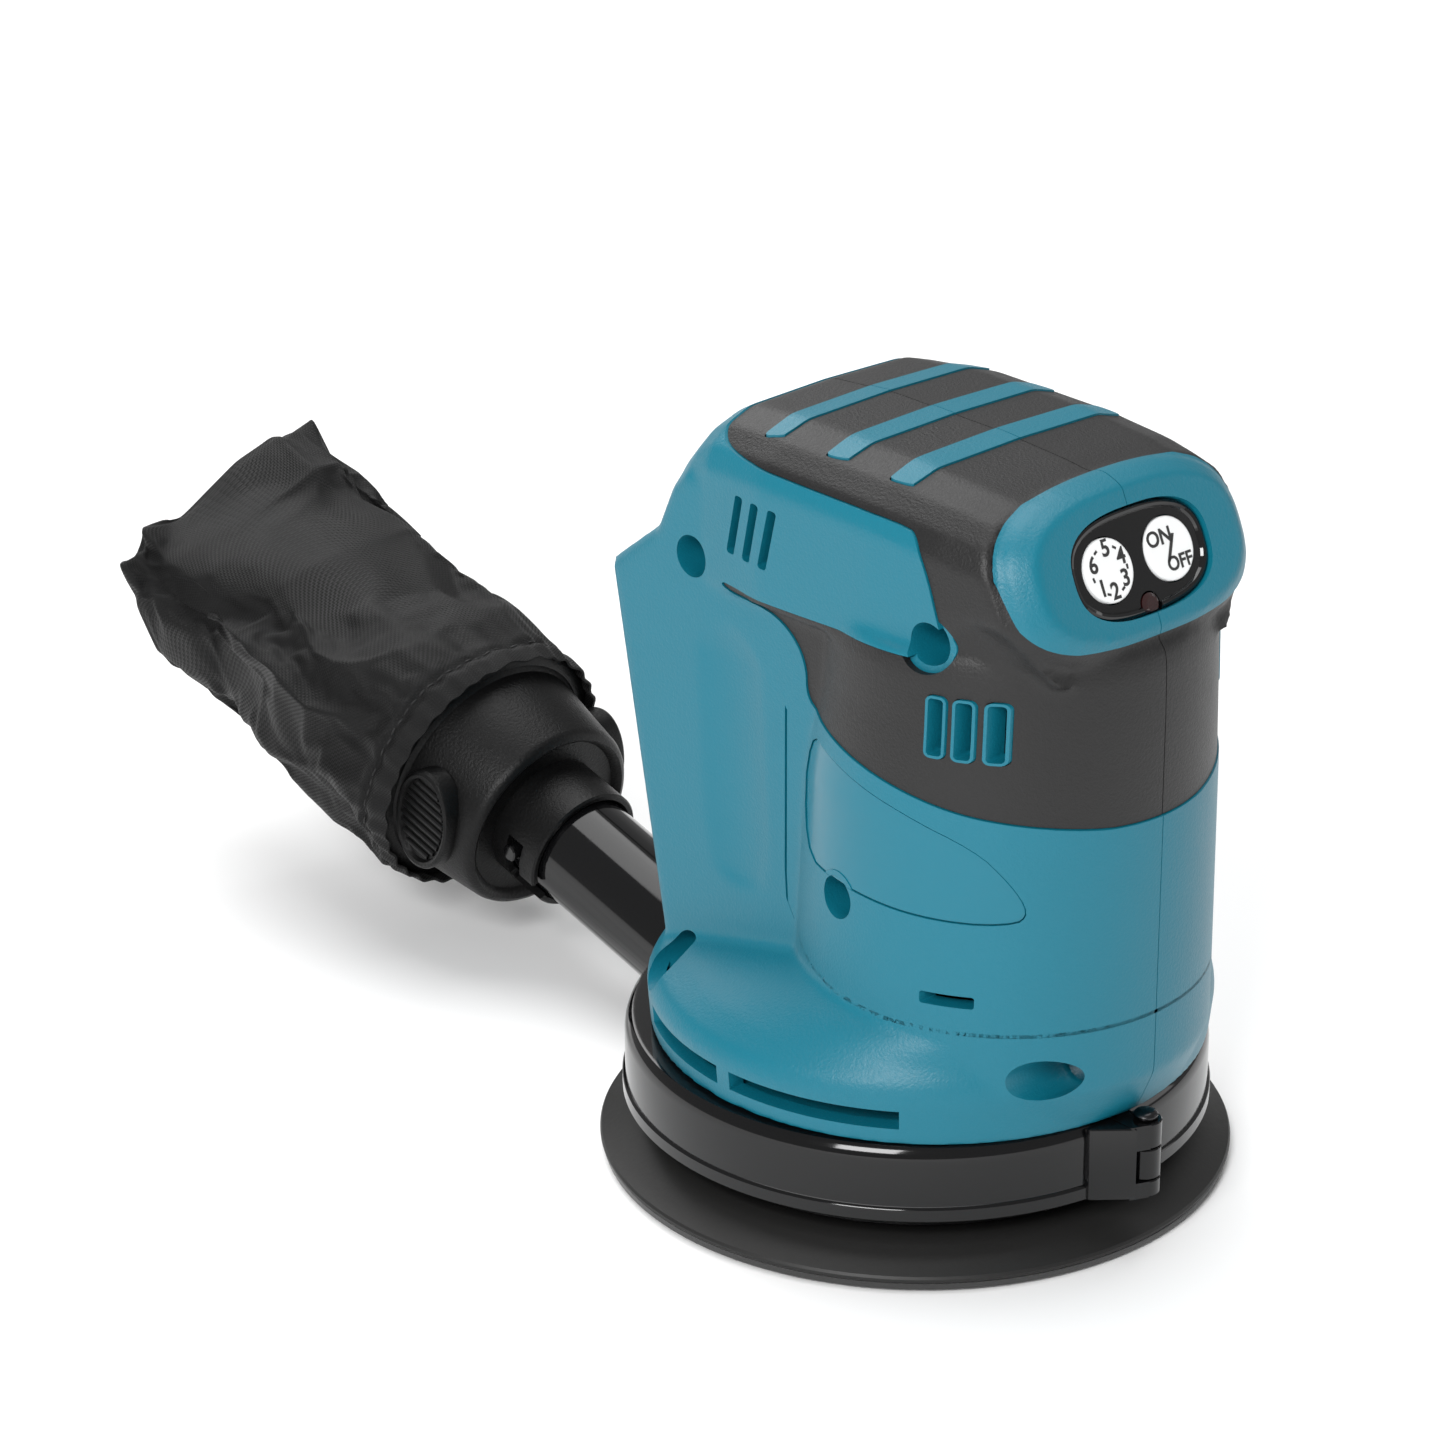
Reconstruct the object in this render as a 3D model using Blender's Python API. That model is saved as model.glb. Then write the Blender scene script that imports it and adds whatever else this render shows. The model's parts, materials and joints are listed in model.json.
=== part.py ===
"""Cordless palm random-orbit sander with a dust bag, modelled as separate pieces.

Lengths are in millimetres in this file and become metres when a mesh is made.
Heights are laid out from a datum 2.9 mm under the sanding face, and everything is
lowered by that much at the end, so the origin ends up at the centre of the sanding
face on the motor axis. +Z up, -Y front, +Y rear.
"""

import math

import bmesh
import bpy
from mathutils import Matrix, Vector

MM = 0.001
GAP = 0.3                       # clearance between pieces that touch
SEAM = 0.15                     # half the gap between left and right halves

DATUM_DROP = 2.9                # datum to sanding face

# Pad and orbit
PAD_R = 61.5
ORBIT = 1.4                     # eccentricity of the pad axis
ORBIT_ANGLE = math.radians(48)  # where the eccentric rests
PAD_TOP = 14.0
DUST_HOLES = 8
DUST_HOLE_R = 4.6
DUST_PCD_R = 34.0
PAD_SCREW_PCD_R = 11.0

# Dust ring and spout
RING_R = 57.0
RING_LOW = 15.5
RING_TOP = 30.7
RING_WALL = 2.4
SPOUT_TILT = math.radians(16.0)
SPOUT_ROOT = (0.0, 50.0, 16.6)
SPOUT_R = 11.75
SPOUT_BORE_R = 9.6
SPOUT_LENGTH = 66.0
HINGE_Y = -60.2

# Housing
FRONT_Y = -61.8
FLANGE_LOW = 31.0
GROOVE_Z = 53.0
HEAD_TOP = 155.0
HEAD_HALF_WIDTH = 34.5
COLUMN_HALF_WIDTH = 31.0
REAR_LOW = (38.6, 43.0)         # (y, z) of the battery face, low and high
REAR_HIGH = (52.8, 117.4)
SKIN = 1.6                      # thickness of the soft overmould
WALL = 3.6                      # housing wall
RAIL_RECESS = 8.0

# Control panel, tilted back from vertical
PANEL_TILT = math.radians(24.4)
PANEL_CENTRE = (0.0, -54.65, 140.1)
KEY_X = 7.8
KEY_R = 5.85
KEY_TRAVEL = 0.8

# Drive
SHAFT_R = 4.0
STATOR_R = 24.6
STATOR_Z = (46.0, 64.0)

# Dust bag collar, distances along the spout axis from the spout root
COLLAR_RIM = 50.0
CUP_FRONT = 61.5
CUP_BACK = 86.5
FLANGE_R = 27.8
BAG_START = 80.5
BAG_HALF_WIDTH = 30.0

# Housing screws: (y, z, half-width of the body there, depth of the screw seat)
SCREWS = {
    "head_rear": (28.5, 125.0, 31.0, 15.0),
    "head_front": (-35.0, 127.2, 28.0, 14.0),
    "body": (-17.4, 73.3, 37.0, 20.0),
    "base_rear": (29.0, 43.4, 31.0, 15.0),
    "base_front": (-54.6, 44.2, 19.0, 9.0),
}

TEAL = ((0.014, 0.214, 0.305), 0.5, 0.0)
SOFT_BLACK = ((0.035, 0.034, 0.034), 0.75, 0.0)
GLOSS_BLACK = ((0.012, 0.012, 0.013), 0.18, 0.0)
MATTE_BLACK = ((0.02, 0.02, 0.021), 0.55, 0.0)
WHITE = ((0.85, 0.85, 0.85), 0.35, 0.0)
STEEL = ((0.55, 0.55, 0.56), 0.3, 1.0)
ALUMINIUM = ((0.6, 0.61, 0.62), 0.4, 1.0)
COPPER = ((0.72, 0.33, 0.12), 0.35, 1.0)
BRASS = ((0.75, 0.55, 0.25), 0.35, 1.0)
GREEN_BOARD = ((0.02, 0.16, 0.06), 0.45, 0.0)
FABRIC = ((0.02, 0.02, 0.02), 0.9, 0.0)
RED_LENS = ((0.25, 0.03, 0.02), 0.2, 0.0)


# ---------------------------------------------------------------- mesh helpers

def clear_scene():
    for item in list(bpy.data.objects):
        bpy.data.objects.remove(item, do_unlink=True)


def material(name, look):
    colour, roughness, metallic = look
    made = bpy.data.materials.new(name)
    made.use_nodes = True
    shader = made.node_tree.nodes["Principled BSDF"]
    shader.inputs["Base Color"].default_value = (*colour, 1.0)
    shader.inputs["Roughness"].default_value = roughness
    shader.inputs["Metallic"].default_value = metallic
    return made


def bent(face):
    """Whether a face's corners lie off its own plane."""
    centre = face.calc_center_median()
    return any(abs((v.co - centre).dot(face.normal)) > 1e-7 for v in face.verts)


def solid(name, points, faces, place=None):
    """An object from points in millimetres, with its faces turned outwards."""
    mesh = bpy.data.meshes.new(name)
    mesh.from_pydata([Vector(p) * MM for p in points], [], faces)
    builder = bmesh.new()
    builder.from_mesh(mesh)
    bmesh.ops.recalc_face_normals(builder, faces=builder.faces)
    builder.normal_update()
    bmesh.ops.triangulate(builder, faces=[f for f in builder.faces if bent(f)])
    builder.to_mesh(mesh)
    builder.free()
    made = bpy.data.objects.new(name, mesh)
    bpy.context.scene.collection.objects.link(made)
    if place is not None:
        mesh.transform(place)
    return made


def loft(name, rings, place=None):
    """Closed solid through rings of equal point count."""
    count = len(rings[0])
    points = [p for ring in rings for p in ring]
    faces = [tuple(range(count))[::-1]]
    for level in range(len(rings) - 1):
        base = level * count
        for i in range(count):
            j = (i + 1) % count
            faces.append((base + i, base + j, base + count + j, base + count + i))
    faces.append(tuple(range(len(points) - count, len(points))))
    return solid(name, points, faces, place)


def turned(name, profile, segments=48, place=None):
    """Solid of revolution about Z from a closed loop of (radius, z)."""
    rings = []
    for radius, z in profile:
        if radius < 1e-6:
            rings.append([(0.0, 0.0, z)])
            continue
        steps = [2 * math.pi * k / segments for k in range(segments)]
        rings.append([(radius * math.cos(a), radius * math.sin(a), z) for a in steps])
    points = []
    starts = []
    for ring in rings:
        starts.append(len(points))
        points += ring
    faces = []
    for level, ring in enumerate(rings):
        following = (level + 1) % len(rings)
        other = rings[following]
        if len(ring) == 1 and len(other) == 1:
            continue
        for i in range(segments):
            j = (i + 1) % segments
            a = starts[level] + (i if len(ring) > 1 else 0)
            b = starts[level] + (j if len(ring) > 1 else 0)
            c = starts[following] + (j if len(other) > 1 else 0)
            d = starts[following] + (i if len(other) > 1 else 0)
            faces.append(tuple(dict.fromkeys((a, b, c, d))))
    return solid(name, points, faces, place)


def disc(name, radius, low, high, segments=32, place=None):
    return turned(name, [(0, low), (radius, low), (radius, high), (0, high)], segments, place)


def tube(name, outer, inner, low, high, segments=40, place=None):
    loop = [(inner, low), (outer, low), (outer, high), (inner, high)]
    return turned(name, loop, segments, place)


def box(name, low, high, place=None):
    (x0, y0, z0), (x1, y1, z1) = low, high
    ring = [(x0, y0), (x1, y0), (x1, y1), (x0, y1)]
    return loft(name, [[(x, y, z) for x, y in ring] for z in (z0, z1)], place)


def prism_x(name, outline, low, high):
    """A (y, z) outline extruded along X."""
    return loft(name, [[(x, y, z) for y, z in outline] for x in (low, high)])


def rod_x(name, radius, y, z, low, high, segments=20):
    steps = [2 * math.pi * k / segments for k in range(segments)]
    outline = [(y + radius * math.cos(a), z + radius * math.sin(a)) for a in steps]
    return prism_x(name, outline, low, high)


def combine(target, tool, operation):
    """Boolean of target with tool, which is used up."""
    modifier = target.modifiers.new("combine", "BOOLEAN")
    modifier.operation = operation
    modifier.solver = "MANIFOLD"
    modifier.object = tool
    bpy.context.view_layer.update()
    graph = bpy.context.evaluated_depsgraph_get()
    result = bpy.data.meshes.new_from_object(target.evaluated_get(graph))
    target.modifiers.clear()
    target.data = result
    bpy.data.objects.remove(tool, do_unlink=True)
    return target


def cut(target, *tools):
    for tool in tools:
        combine(target, tool, "DIFFERENCE")
    return target


def join(target, *tools):
    for tool in tools:
        combine(target, tool, "UNION")
    return target


def keep(target, tool):
    return combine(target, tool, "INTERSECT")


def duplicate(source, name):
    made = source.copy()
    made.data = source.data.copy()
    made.name = name
    bpy.context.scene.collection.objects.link(made)
    return made


def discard(*items):
    for item in items:
        bpy.data.objects.remove(item, do_unlink=True)


def half_space(side, size=400.0):
    """Everything on one side of the centre plane, clear of it by the seam gap."""
    low, high = ((-size, -SEAM) if side < 0 else (SEAM, size))
    return box("half", (low, -size, -size), (high, size, size))


def inset_outline(outline, distance):
    """A closed 2D outline, given anticlockwise, moved inwards."""
    moved = []
    count = len(outline)
    for i in range(count):
        before = Vector(outline[i - 1])
        here = Vector(outline[i])
        after = Vector(outline[(i + 1) % count])
        first = (here - before).normalized()
        second = (after - here).normalized()
        inward = Vector((-first.y - second.y, first.x + second.x))
        spread = max(0.4, inward.length / 2)
        moved.append(tuple(here + inward.normalized() * distance / spread))
    return moved


def weld(mesh, distance=0.02):
    """Collapse the very short edges that Booleans leave behind."""
    builder = bmesh.new()
    builder.from_mesh(mesh)
    bmesh.ops.remove_doubles(builder, verts=builder.verts, dist=distance * MM)
    bmesh.ops.dissolve_degenerate(builder, edges=builder.edges, dist=distance * MM / 4)
    builder.to_mesh(mesh)
    builder.free()


def finish(item, look):
    weld(item.data)
    item.data.materials.clear()
    item.data.materials.append(material(item.name, look))
    item.data.shade_smooth()
    item.data.set_sharp_from_angle(angle=math.radians(35))
    return item


# ------------------------------------------------------------- shared frames

def spout_place():
    """Local Z runs out along the spout from its root."""
    return (Matrix.Translation(Vector(SPOUT_ROOT) * MM)
            @ Matrix.Rotation(SPOUT_TILT - math.pi / 2, 4, "X"))


def panel_place():
    """Local X across, local Y up the panel, local Z out of it."""
    return (Matrix.Translation(Vector(PANEL_CENTRE) * MM)
            @ Matrix.Rotation(math.pi / 2 - PANEL_TILT, 4, "X"))


def orbit_offset():
    return Vector((ORBIT * math.cos(ORBIT_ANGLE), ORBIT * math.sin(ORBIT_ANGLE), 0)) * MM


def pad_place():
    return Matrix.Translation(orbit_offset())


# --------------------------------------------------------------- outer body

def circle_stack(name, levels, inset, segments=36):
    rings = []
    for z, centre_y, radius in levels:
        r = radius - inset
        steps = [2 * math.pi * k / segments for k in range(segments)]
        rings.append([(r * math.cos(a), centre_y + r * math.sin(a), z) for a in steps])
    return loft(name, rings)


def barrel(inset):
    """Round front of the body, from the base up into the head."""
    open_end = 2.0 if inset > 2 else 0.0
    fronts = [
        (FLANGE_LOW - open_end, -57.0, 37.0),
        (FLANGE_LOW + 3.5, -57.6 - 1.4, 38.0),
        (FLANGE_LOW + 10.0, FRONT_Y, 39.3),
        (GROOVE_Z, FRONT_Y, 39.3),
        (92.0, FRONT_Y, 38.4),
        (112.0, FRONT_Y, 36.9),
        (121.5, FRONT_Y + 0.2, 36.6),
        (125.3 - inset, FRONT_Y + 0.8, 36.0),
    ]
    return circle_stack("barrel", [(z, front + r, r) for z, front, r in fronts], inset)


def base_flange(inset):
    open_end = 2.0 if inset > 2 else 0.0
    levels = [
        (FLANGE_LOW - open_end, -3.4, 53.6),
        (FLANGE_LOW + 9.0, -3.6, 54.4),
        (FLANGE_LOW + 12.0, -4.6, 53.2),
        (46.5 - inset / 4, -8.4, 49.0),
        (50.5 - inset / 2, -15.5, 43.5),
        (GROOVE_Z + 1.4 - 0.8 * inset, -21.6, 37.8),
    ]
    return circle_stack("flange", levels, inset)


def head_section(y, half_width, top, waist, inset):
    """Crowned roof section of the head, tucked in to the waist width at its foot."""
    w = half_width - inset
    high = top - inset
    shoulder = [(0.0, 0.0), (0.60, -0.5), (0.80, -2.6), (0.94, -6.0), (1.0, -10.0)]
    low = [(1.0, 134.0), (0.5 + waist / 2, 127.5), (waist, 121.5 + inset)]
    side = [(w * s, high + drop) for s, drop in shoulder]
    side += [(w * s, z) for s, z in low]
    mirrored = [(-x, z) for x, z in reversed(side[1:])]
    return [(x, y, z) for x, z in side + mirrored]


def head(inset):
    stations = [
        (38.5 - inset, 29.0, 138.0, 1.0),
        (34.5 - inset / 2, 30.0, 146.0, 1.0),
        (30.0, 31.0, 150.6, 1.0),
        (24.6, 32.2, 153.6, 1.0),
        (8.0, HEAD_HALF_WIDTH, 155.0, 1.0),
        (-20.0, HEAD_HALF_WIDTH, 154.8, 1.0),
        (-36.0, 33.6, 153.8, 0.97),
        (-43.0, 32.6, 152.9, 0.86),
        (-52.0, 31.2, 152.2, 0.74),
        (-66.0, 29.6, 151.0, 0.66),
    ]
    block = loft("head", [head_section(y, w, t, waist, inset) for y, w, t, waist in stations])
    front = box("trim", (-90, -90, -5.5 - inset), (90, 90, 90), panel_place())
    return cut(block, front)


def bezel_ring(half_width, top, bottom, height, segments=28):
    """Rounded oblong outline in the panel's own plane."""
    middle = (top + bottom) / 2
    half_height = (top - bottom) / 2
    points = []
    for k in range(segments):
        a = 2 * math.pi * k / segments
        c, s = math.cos(a), math.sin(a)
        power = 2.0 / 2.7
        x = half_width * math.copysign(abs(c) ** power, c)
        y = middle + half_height * math.copysign(abs(s) ** power, s)
        points.append((x, y, height))
    return points


def bezel(inset):
    rings = [
        bezel_ring(30.0 - inset, 17.2 - inset, -16.6 + inset, -20.0),
        bezel_ring(30.0 - inset, 17.2 - inset, -16.6 + inset, -5.0 - inset),
        bezel_ring(29.0 - inset, 16.4 - inset, -15.8 + inset, -3.0 - inset),
        bezel_ring(25.4 - inset, 13.3 - inset, -12.7 + inset, -inset),
    ]
    return loft("bezel", rings, panel_place())


def column_outline(inset):
    """Side outline of the rear column, up to its battery face."""
    slope = (REAR_HIGH[0] - REAR_LOW[0]) / (REAR_HIGH[1] - REAR_LOW[1])
    back = inset + (RAIL_RECESS if inset > 2 else 0.0)
    low = 38.0 + inset
    return [
        (-8.0, low),
        (REAR_LOW[0] - slope * (REAR_LOW[1] - low) - back, low),
        (REAR_HIGH[0] - back, REAR_HIGH[1] - inset),
        (39.8 - back, 127.6 - inset),
        (35.5 - back, 137.0 - inset),
        (31.0 - back, 142.0 - inset),
        (-8.0, 142.0 - inset),
    ]


def column(inset):
    """Rear column: narrow at the battery face and a little wider forward."""
    outline = column_outline(inset)
    rings = []
    for share, narrow in ((-1.0, 2.0), (-0.93, 0.0), (0.93, 0.0), (1.0, 2.0)):
        half = COLUMN_HALF_WIDTH - inset + 1.0
        shrunk = inset_outline(outline, narrow) if narrow else outline
        rings.append([(half * share, y, z) for y, z in shrunk])
    return loft("column", rings)


def body(inset):
    whole = barrel(inset)
    return join(whole, base_flange(inset), head(inset), bezel(inset), column(inset))


# ------------------------------------------------- overmould region, side view

def grip_region(shrink):
    """Where the soft overmould covers the body, as a solid across its width."""
    tongue = [(19.0, 121.9), (19.4, 122.7), (18.0, 123.2)]
    panel_edge = [(8.0, 122.8), (-23.0, 124.2), (-38.4, 124.6), (-37.4, 130.5),
                  (-34.8, 139.5), (-31.4, 145.8), (-28.0, 147.4), (5.0, 147.5),
                  (20.0, 148.0), (24.5, 149.6), (27.4, 153.0), (27.4, 170.0)]
    bezel_side = [(-35.2, 170.0), (-55.6, 125.3), (-75.0, 125.3), (-75.0, 92.3)]
    waist = [(-61.8, 92.3), (-56.7, 94.0), (-50.4, 95.3), (-42.8, 96.6),
             (-34.0, 98.6), (-25.8, 100.4), (-15.0, 102.6), (-4.5, 104.6),
             (-2.4, 107.3), (-2.3, 111.8), (-0.3, 115.8), (3.5, 118.9), (9.0, 120.8)]
    outline = (tongue + panel_edge + bezel_side + waist)
    region = prism_x("region", inset_outline(outline, shrink) if shrink else outline, -60, 60)
    for front, back in ((9.2, 14.2), (-7.6, -2.0), (-24.0, -18.2)):
        stripe = box("stripe", (-26.0 - shrink, front - shrink, 146.0),
                     (26.0 + shrink, back + shrink, 175.0))
        cut(region, stripe)
    return region


def rear_place():
    """Local Y up the battery face, local Z out of it to the rear, from its low edge."""
    lean = math.atan2(REAR_HIGH[0] - REAR_LOW[0], REAR_HIGH[1] - REAR_LOW[1])
    return (Matrix.Translation(Vector((0, *REAR_LOW)) * MM)
            @ Matrix.Rotation(math.pi, 4, "Z")
            @ Matrix.Rotation(math.pi / 2 + lean, 4, "X"))


def battery_recess():
    """T-shaped channel that the battery's rails slide down, open at the top."""
    mouth = box("mouth", (-23.5, 16, -RAIL_RECESS), (23.5, 100, 20), rear_place())
    return join(mouth, box("undercut", (-27.0, 16, -RAIL_RECESS), (27.0, 100, -3.2),
                           rear_place()))


def terminal_pocket():
    return box("pocket", (-15.3, 30, -20), (15.3, 61, -2), rear_place())


def side_slots():
    """Air slots and label slot through both flanks."""
    slots = []
    for y in (16.4, 11.6, 6.8):
        lean = 2.6
        outline = [(y - 1.2, 129.4), (y + 1.2, 129.4), (y + 1.2 - lean / 2, 135.6),
                   (y + 1.2 - lean, 141.4), (y - 1.2 - lean, 141.4),
                   (y - 1.2 - lean / 2, 135.6)]
        slots.append(prism_x("head_slot", outline, -60, 60))
    for y in (-38.0, -42.8, -47.8):
        slots.append(box("neck_slot", (-60, y - 1.7, 107.2), (60, y + 1.7, 118.0)))
    slots.append(box("tag_slot", (-60, -46.0, 58.6), (60, -37.0, 61.0)))
    return slots


def exhaust_slots():
    """Curved air outlets round the base wall, between the flank and the column."""
    slots = []
    for side in (-1, 1):
        for start, end in ((149.0, 178.5), (182.0, 219.4)):
            outer, inner = [], []
            steps = 6
            for k in range(steps + 1):
                a = math.radians(start + (end - start) * k / steps)
                for radius, loop in ((62, outer), (46, inner)):
                    loop.append((-side * radius * math.cos(a), radius * math.sin(a) - 3.4))
            loop = outer + inner[::-1]
            rings = [[(x, y, z) for x, y in loop] for z in (34.6, 38.4)]
            slots.append(loft("exhaust", rings))
    return slots


def base_web():
    """Floor ring of the housing, round the shaft."""
    levels = [(FLANGE_LOW + 0.2, -3.4, 52.2), (FLANGE_LOW + 2.8, -3.4, 52.2)]
    web = circle_stack("web", levels, 0.0)
    return cut(web, disc("web_hole", 19.0, 20, 40))


def housing_shell():
    outside = body(0.0)
    shell = duplicate(outside, "shell")
    cut(shell, grip_region(0.0))
    join(shell, body(SKIN + GAP))
    cut(shell, body(WALL))
    join(shell, base_web(), *motor_cradle())
    cut(shell, battery_recess(), terminal_pocket())
    pocket = [bezel_ring(17.3, 9.85, -9.85, z) for z in (-3.4, 2.0)]
    cut(shell, loft("panel_pocket", pocket, panel_place()))
    opening = [bezel_ring(14.6, 7.6, -7.6, z) for z in (-14.0, 0.0)]
    cut(shell, loft("panel_opening", opening, panel_place()))
    return outside, shell


def motor_cradle():
    """Ribs that hold the stator and the upper bearing in the housing."""
    ribs = [tube("rib", 29.6, STATOR_R + GAP, z, z + 2.4, 24) for z in (49.0, 58.6)]
    ribs.append(tube("plate", 29.4, 11.2 + GAP, 71.4, 74.4, 24))
    return ribs


def housing_and_grips():
    outside, shell = housing_shell()
    skin = outside
    cut(skin, body(SKIN))
    keep(skin, grip_region(GAP))
    for slot in side_slots():
        cut(shell, duplicate(slot, "slot_copy"))
        cut(skin, slot)
    cut(shell, *exhaust_slots())
    pieces = []
    for side, word in ((-1, "left"), (1, "right")):
        half = duplicate(shell, "housing_" + word)
        keep(half, half_space(side))
        grip = duplicate(skin, "grip_" + word)
        keep(grip, half_space(side))
        for y, z, reach, seat in SCREWS.values():
            low, high = sorted((side * SEAM, side * (reach - 1.0)))
            join(half, rod_x("boss", 5.2, y, z, low, high, 14))
            if side < 0:
                cut(half, rod_x("hole", 1.9, y, z, -60, 0, 8))
                cut(half, rod_x("well", 4.1, y, z, -80, -seat, 14))
                cut(grip, rod_x("well", 5.6, y, z, -80, -5, 14))
            else:
                cut(half, rod_x("pilot", 1.9, y, z, 0, 12, 8))
        pieces.append(finish(half, TEAL))
        pieces.append(finish(grip, SOFT_BLACK))
    discard(shell, skin)
    return pieces


def housing_screws():
    for name, (y, z, _, seat) in SCREWS.items():
        head_end = -seat - 3.0
        screw = rod_x("screw_" + name, 3.5, y, z, head_end, -seat - GAP, 14)
        join(screw, rod_x("shank", 1.5, y, z, -seat - 1.0, 11.0, 8))
        cut(screw, rod_x("socket", 1.5, y, z, head_end - 1, head_end + 1.8, 6))
        finish(screw, STEEL)


# ------------------------------------------------------------- control panel

def control_panel():
    rings = [bezel_ring(17.0, 9.55, -9.55, -3.1), bezel_ring(17.0, 9.55, -9.55, -1.4),
             bezel_ring(16.4, 8.95, -8.95, -1.0)]
    panel = loft("control_panel", rings, panel_place())
    for x in (-KEY_X, KEY_X):
        place = panel_place() @ Matrix.Translation((x * MM, 0, 0))
        cut(panel, disc("key_hole", KEY_R + GAP, -5, 2, 28, place))
    lens_place = panel_place() @ Matrix.Translation((0, -8.2 * MM, 0))
    cut(panel, disc("lens_hole", 2.4, -5, 2, 16, lens_place))
    finish(panel, GLOSS_BLACK)
    for name, x in (("speed_button", -KEY_X), ("power_button", KEY_X)):
        place = panel_place() @ Matrix.Translation((x * MM, 0, 0))
        loop = [(0, -4.4), (KEY_R - 1.0, -4.4), (KEY_R - 1.0, -3.2), (KEY_R, -3.2),
                (KEY_R, -1.0), (KEY_R - 0.4, -0.6), (0, -0.6)]
        key = turned(name, [(r, z) for r, z in loop], 28)
        key.matrix_world = place
        finish(key, WHITE)
    lens = turned("led_lens", [(0, -3.0), (2.1, -3.0), (2.1, -1.2), (1.4, -0.7), (0, -0.7)],
                  16, lens_place)
    trim = box("trim", (-5, -14.0, -6), (5, -9.4, 4), panel_place())
    finish(cut(lens, trim), RED_LENS)
    board = box("control_board", (-13.5, -6.8, -9.2), (13.5, 6.8, -7.8), panel_place())
    finish(board, GREEN_BOARD)
    for name, x in (("speed_switch", -KEY_X), ("power_switch", KEY_X)):
        place = panel_place() @ Matrix.Translation((x * MM, 0, 0))
        switch = disc(name, 3.2, -7.5, -5.6, 16, place)
        finish(switch, MATTE_BLACK)


# -------------------------------------------------------- battery connection

def battery_connection():
    block = box("terminal_block", (-15.0, 30.3, -16.0), (15.0, 60.7, -9.0), rear_place())
    join(block, box("tower", (-12.0, 34.0, -9.5), (12.0, 57.0, -3.0), rear_place()))
    blades = {"positive_blade": -8.0, "signal_blade": 0.0, "negative_blade": 8.0}
    for x in blades.values():
        cut(block, box("gap", (x - 1.5, 36.0, -8.5), (x + 1.5, 60.0, 1.0), rear_place()))
    for name, x in blades.items():
        blade = box(name, (x - 0.5, 37.0, -8.2), (x + 0.5, 54.0, -4.0), rear_place())
        finish(blade, BRASS)
    finish(block, MATTE_BLACK)
    controller = box("motor_controller", (-17.0, -52.0, 82.0), (17.0, -34.0, 104.0))
    for k in range(5):
        y = -50.0 + 3.4 * k
        cut(controller, box("fin", (-18, y, 96.0), (18, y + 1.6, 110.0)))
    finish(controller, ALUMINIUM)


def battery_leads():
    """The pair of leads from the terminals to the controller, as one flat tube."""
    curve = bpy.data.curves.new("battery_leads", "CURVE")
    curve.dimensions = "3D"
    curve.bevel_depth = 1.6 * MM
    curve.bevel_resolution = 2
    curve.use_fill_caps = True
    route = [(0, 24.0, 92.0), (0, 16.0, 91.0), (0, 8.0, 93.0), (0, 0.0, 96.0),
             (0, -8.0, 98.0), (0, -16.0, 97.0), (0, -24.0, 94.0), (0, -32.0, 93.0)]
    spline = curve.splines.new("POLY")
    spline.points.add(len(route) - 1)
    for point, place in zip(spline.points, route):
        point.co = (*(Vector(place) * MM), 1.0)
    made = bpy.data.objects.new("battery_leads", curve)
    bpy.context.scene.collection.objects.link(made)
    curve.materials.append(material("battery_leads", SOFT_BLACK))


# --------------------------------------------------------------------- drive

def motor():
    low, high = STATOR_Z
    stator = tube("stator_core", STATOR_R, 15.4, low, high, 36)
    for k in range(9):
        turn = Matrix.Rotation(2 * math.pi * (k + 0.5) / 9, 4, "Z")
        cut(stator, box("slot", (16.8, -2.2, low - 1), (21.6, 2.2, high + 1), turn))
    finish(stator, STEEL)
    for name, z0, z1 in (("lower_winding", low - 4.6, low - GAP),
                         ("upper_winding", high + GAP, high + 3.6)):
        finish(turned(name, [(17.0, z0 + 0.8), (18.0, z0), (22.6, z0), (23.4, z0 + 0.8),
                             (23.4, z1), (17.0, z1)], 28), COPPER)
    finish(tube("rotor_magnet", 14.6, SHAFT_R + GAP, low - 1, high + 1, 28), MATTE_BLACK)
    finish(turned("rotor_shaft", [(0, 27.4), (SHAFT_R - 0.4, 27.4), (SHAFT_R, 27.8),
                                  (SHAFT_R, 77.4), (SHAFT_R - 0.4, 77.8), (0, 77.8)], 24),
           STEEL)
    finish(tube("upper_bearing", 9.0, SHAFT_R + GAP, 70.0, 76.0, 28), STEEL)
    finish(tube("bearing_bush", 11.2, 9.0 + GAP, 69.6, 76.4, 28), SOFT_BLACK)
    finish(tube("lower_bearing", 11.0, SHAFT_R + GAP, 34.2, 40.2, 28), STEEL)
    finish(tube("bearing_bracket", 24.5, 11.0 + GAP, 34.0, 40.6, 40), ALUMINIUM)


def fan():
    blades = 9
    wheel = tube("fan", 40.0, SHAFT_R + GAP, 28.9, 30.3, 36)
    join(wheel, tube("hub", 8.0, SHAFT_R + GAP, 29.0, 33.9, 20))
    for k in range(blades):
        turn = Matrix.Rotation(2 * math.pi * k / blades, 4, "Z") \
            @ Matrix.Translation((29.5 * MM, 0, 0)) @ Matrix.Rotation(math.radians(35), 4, "Z")
        join(wheel, box("blade", (-9.0, -0.8, 20.5), (9.0, 0.8, 29.2), turn))
    finish(wheel, MATTE_BLACK)


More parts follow.
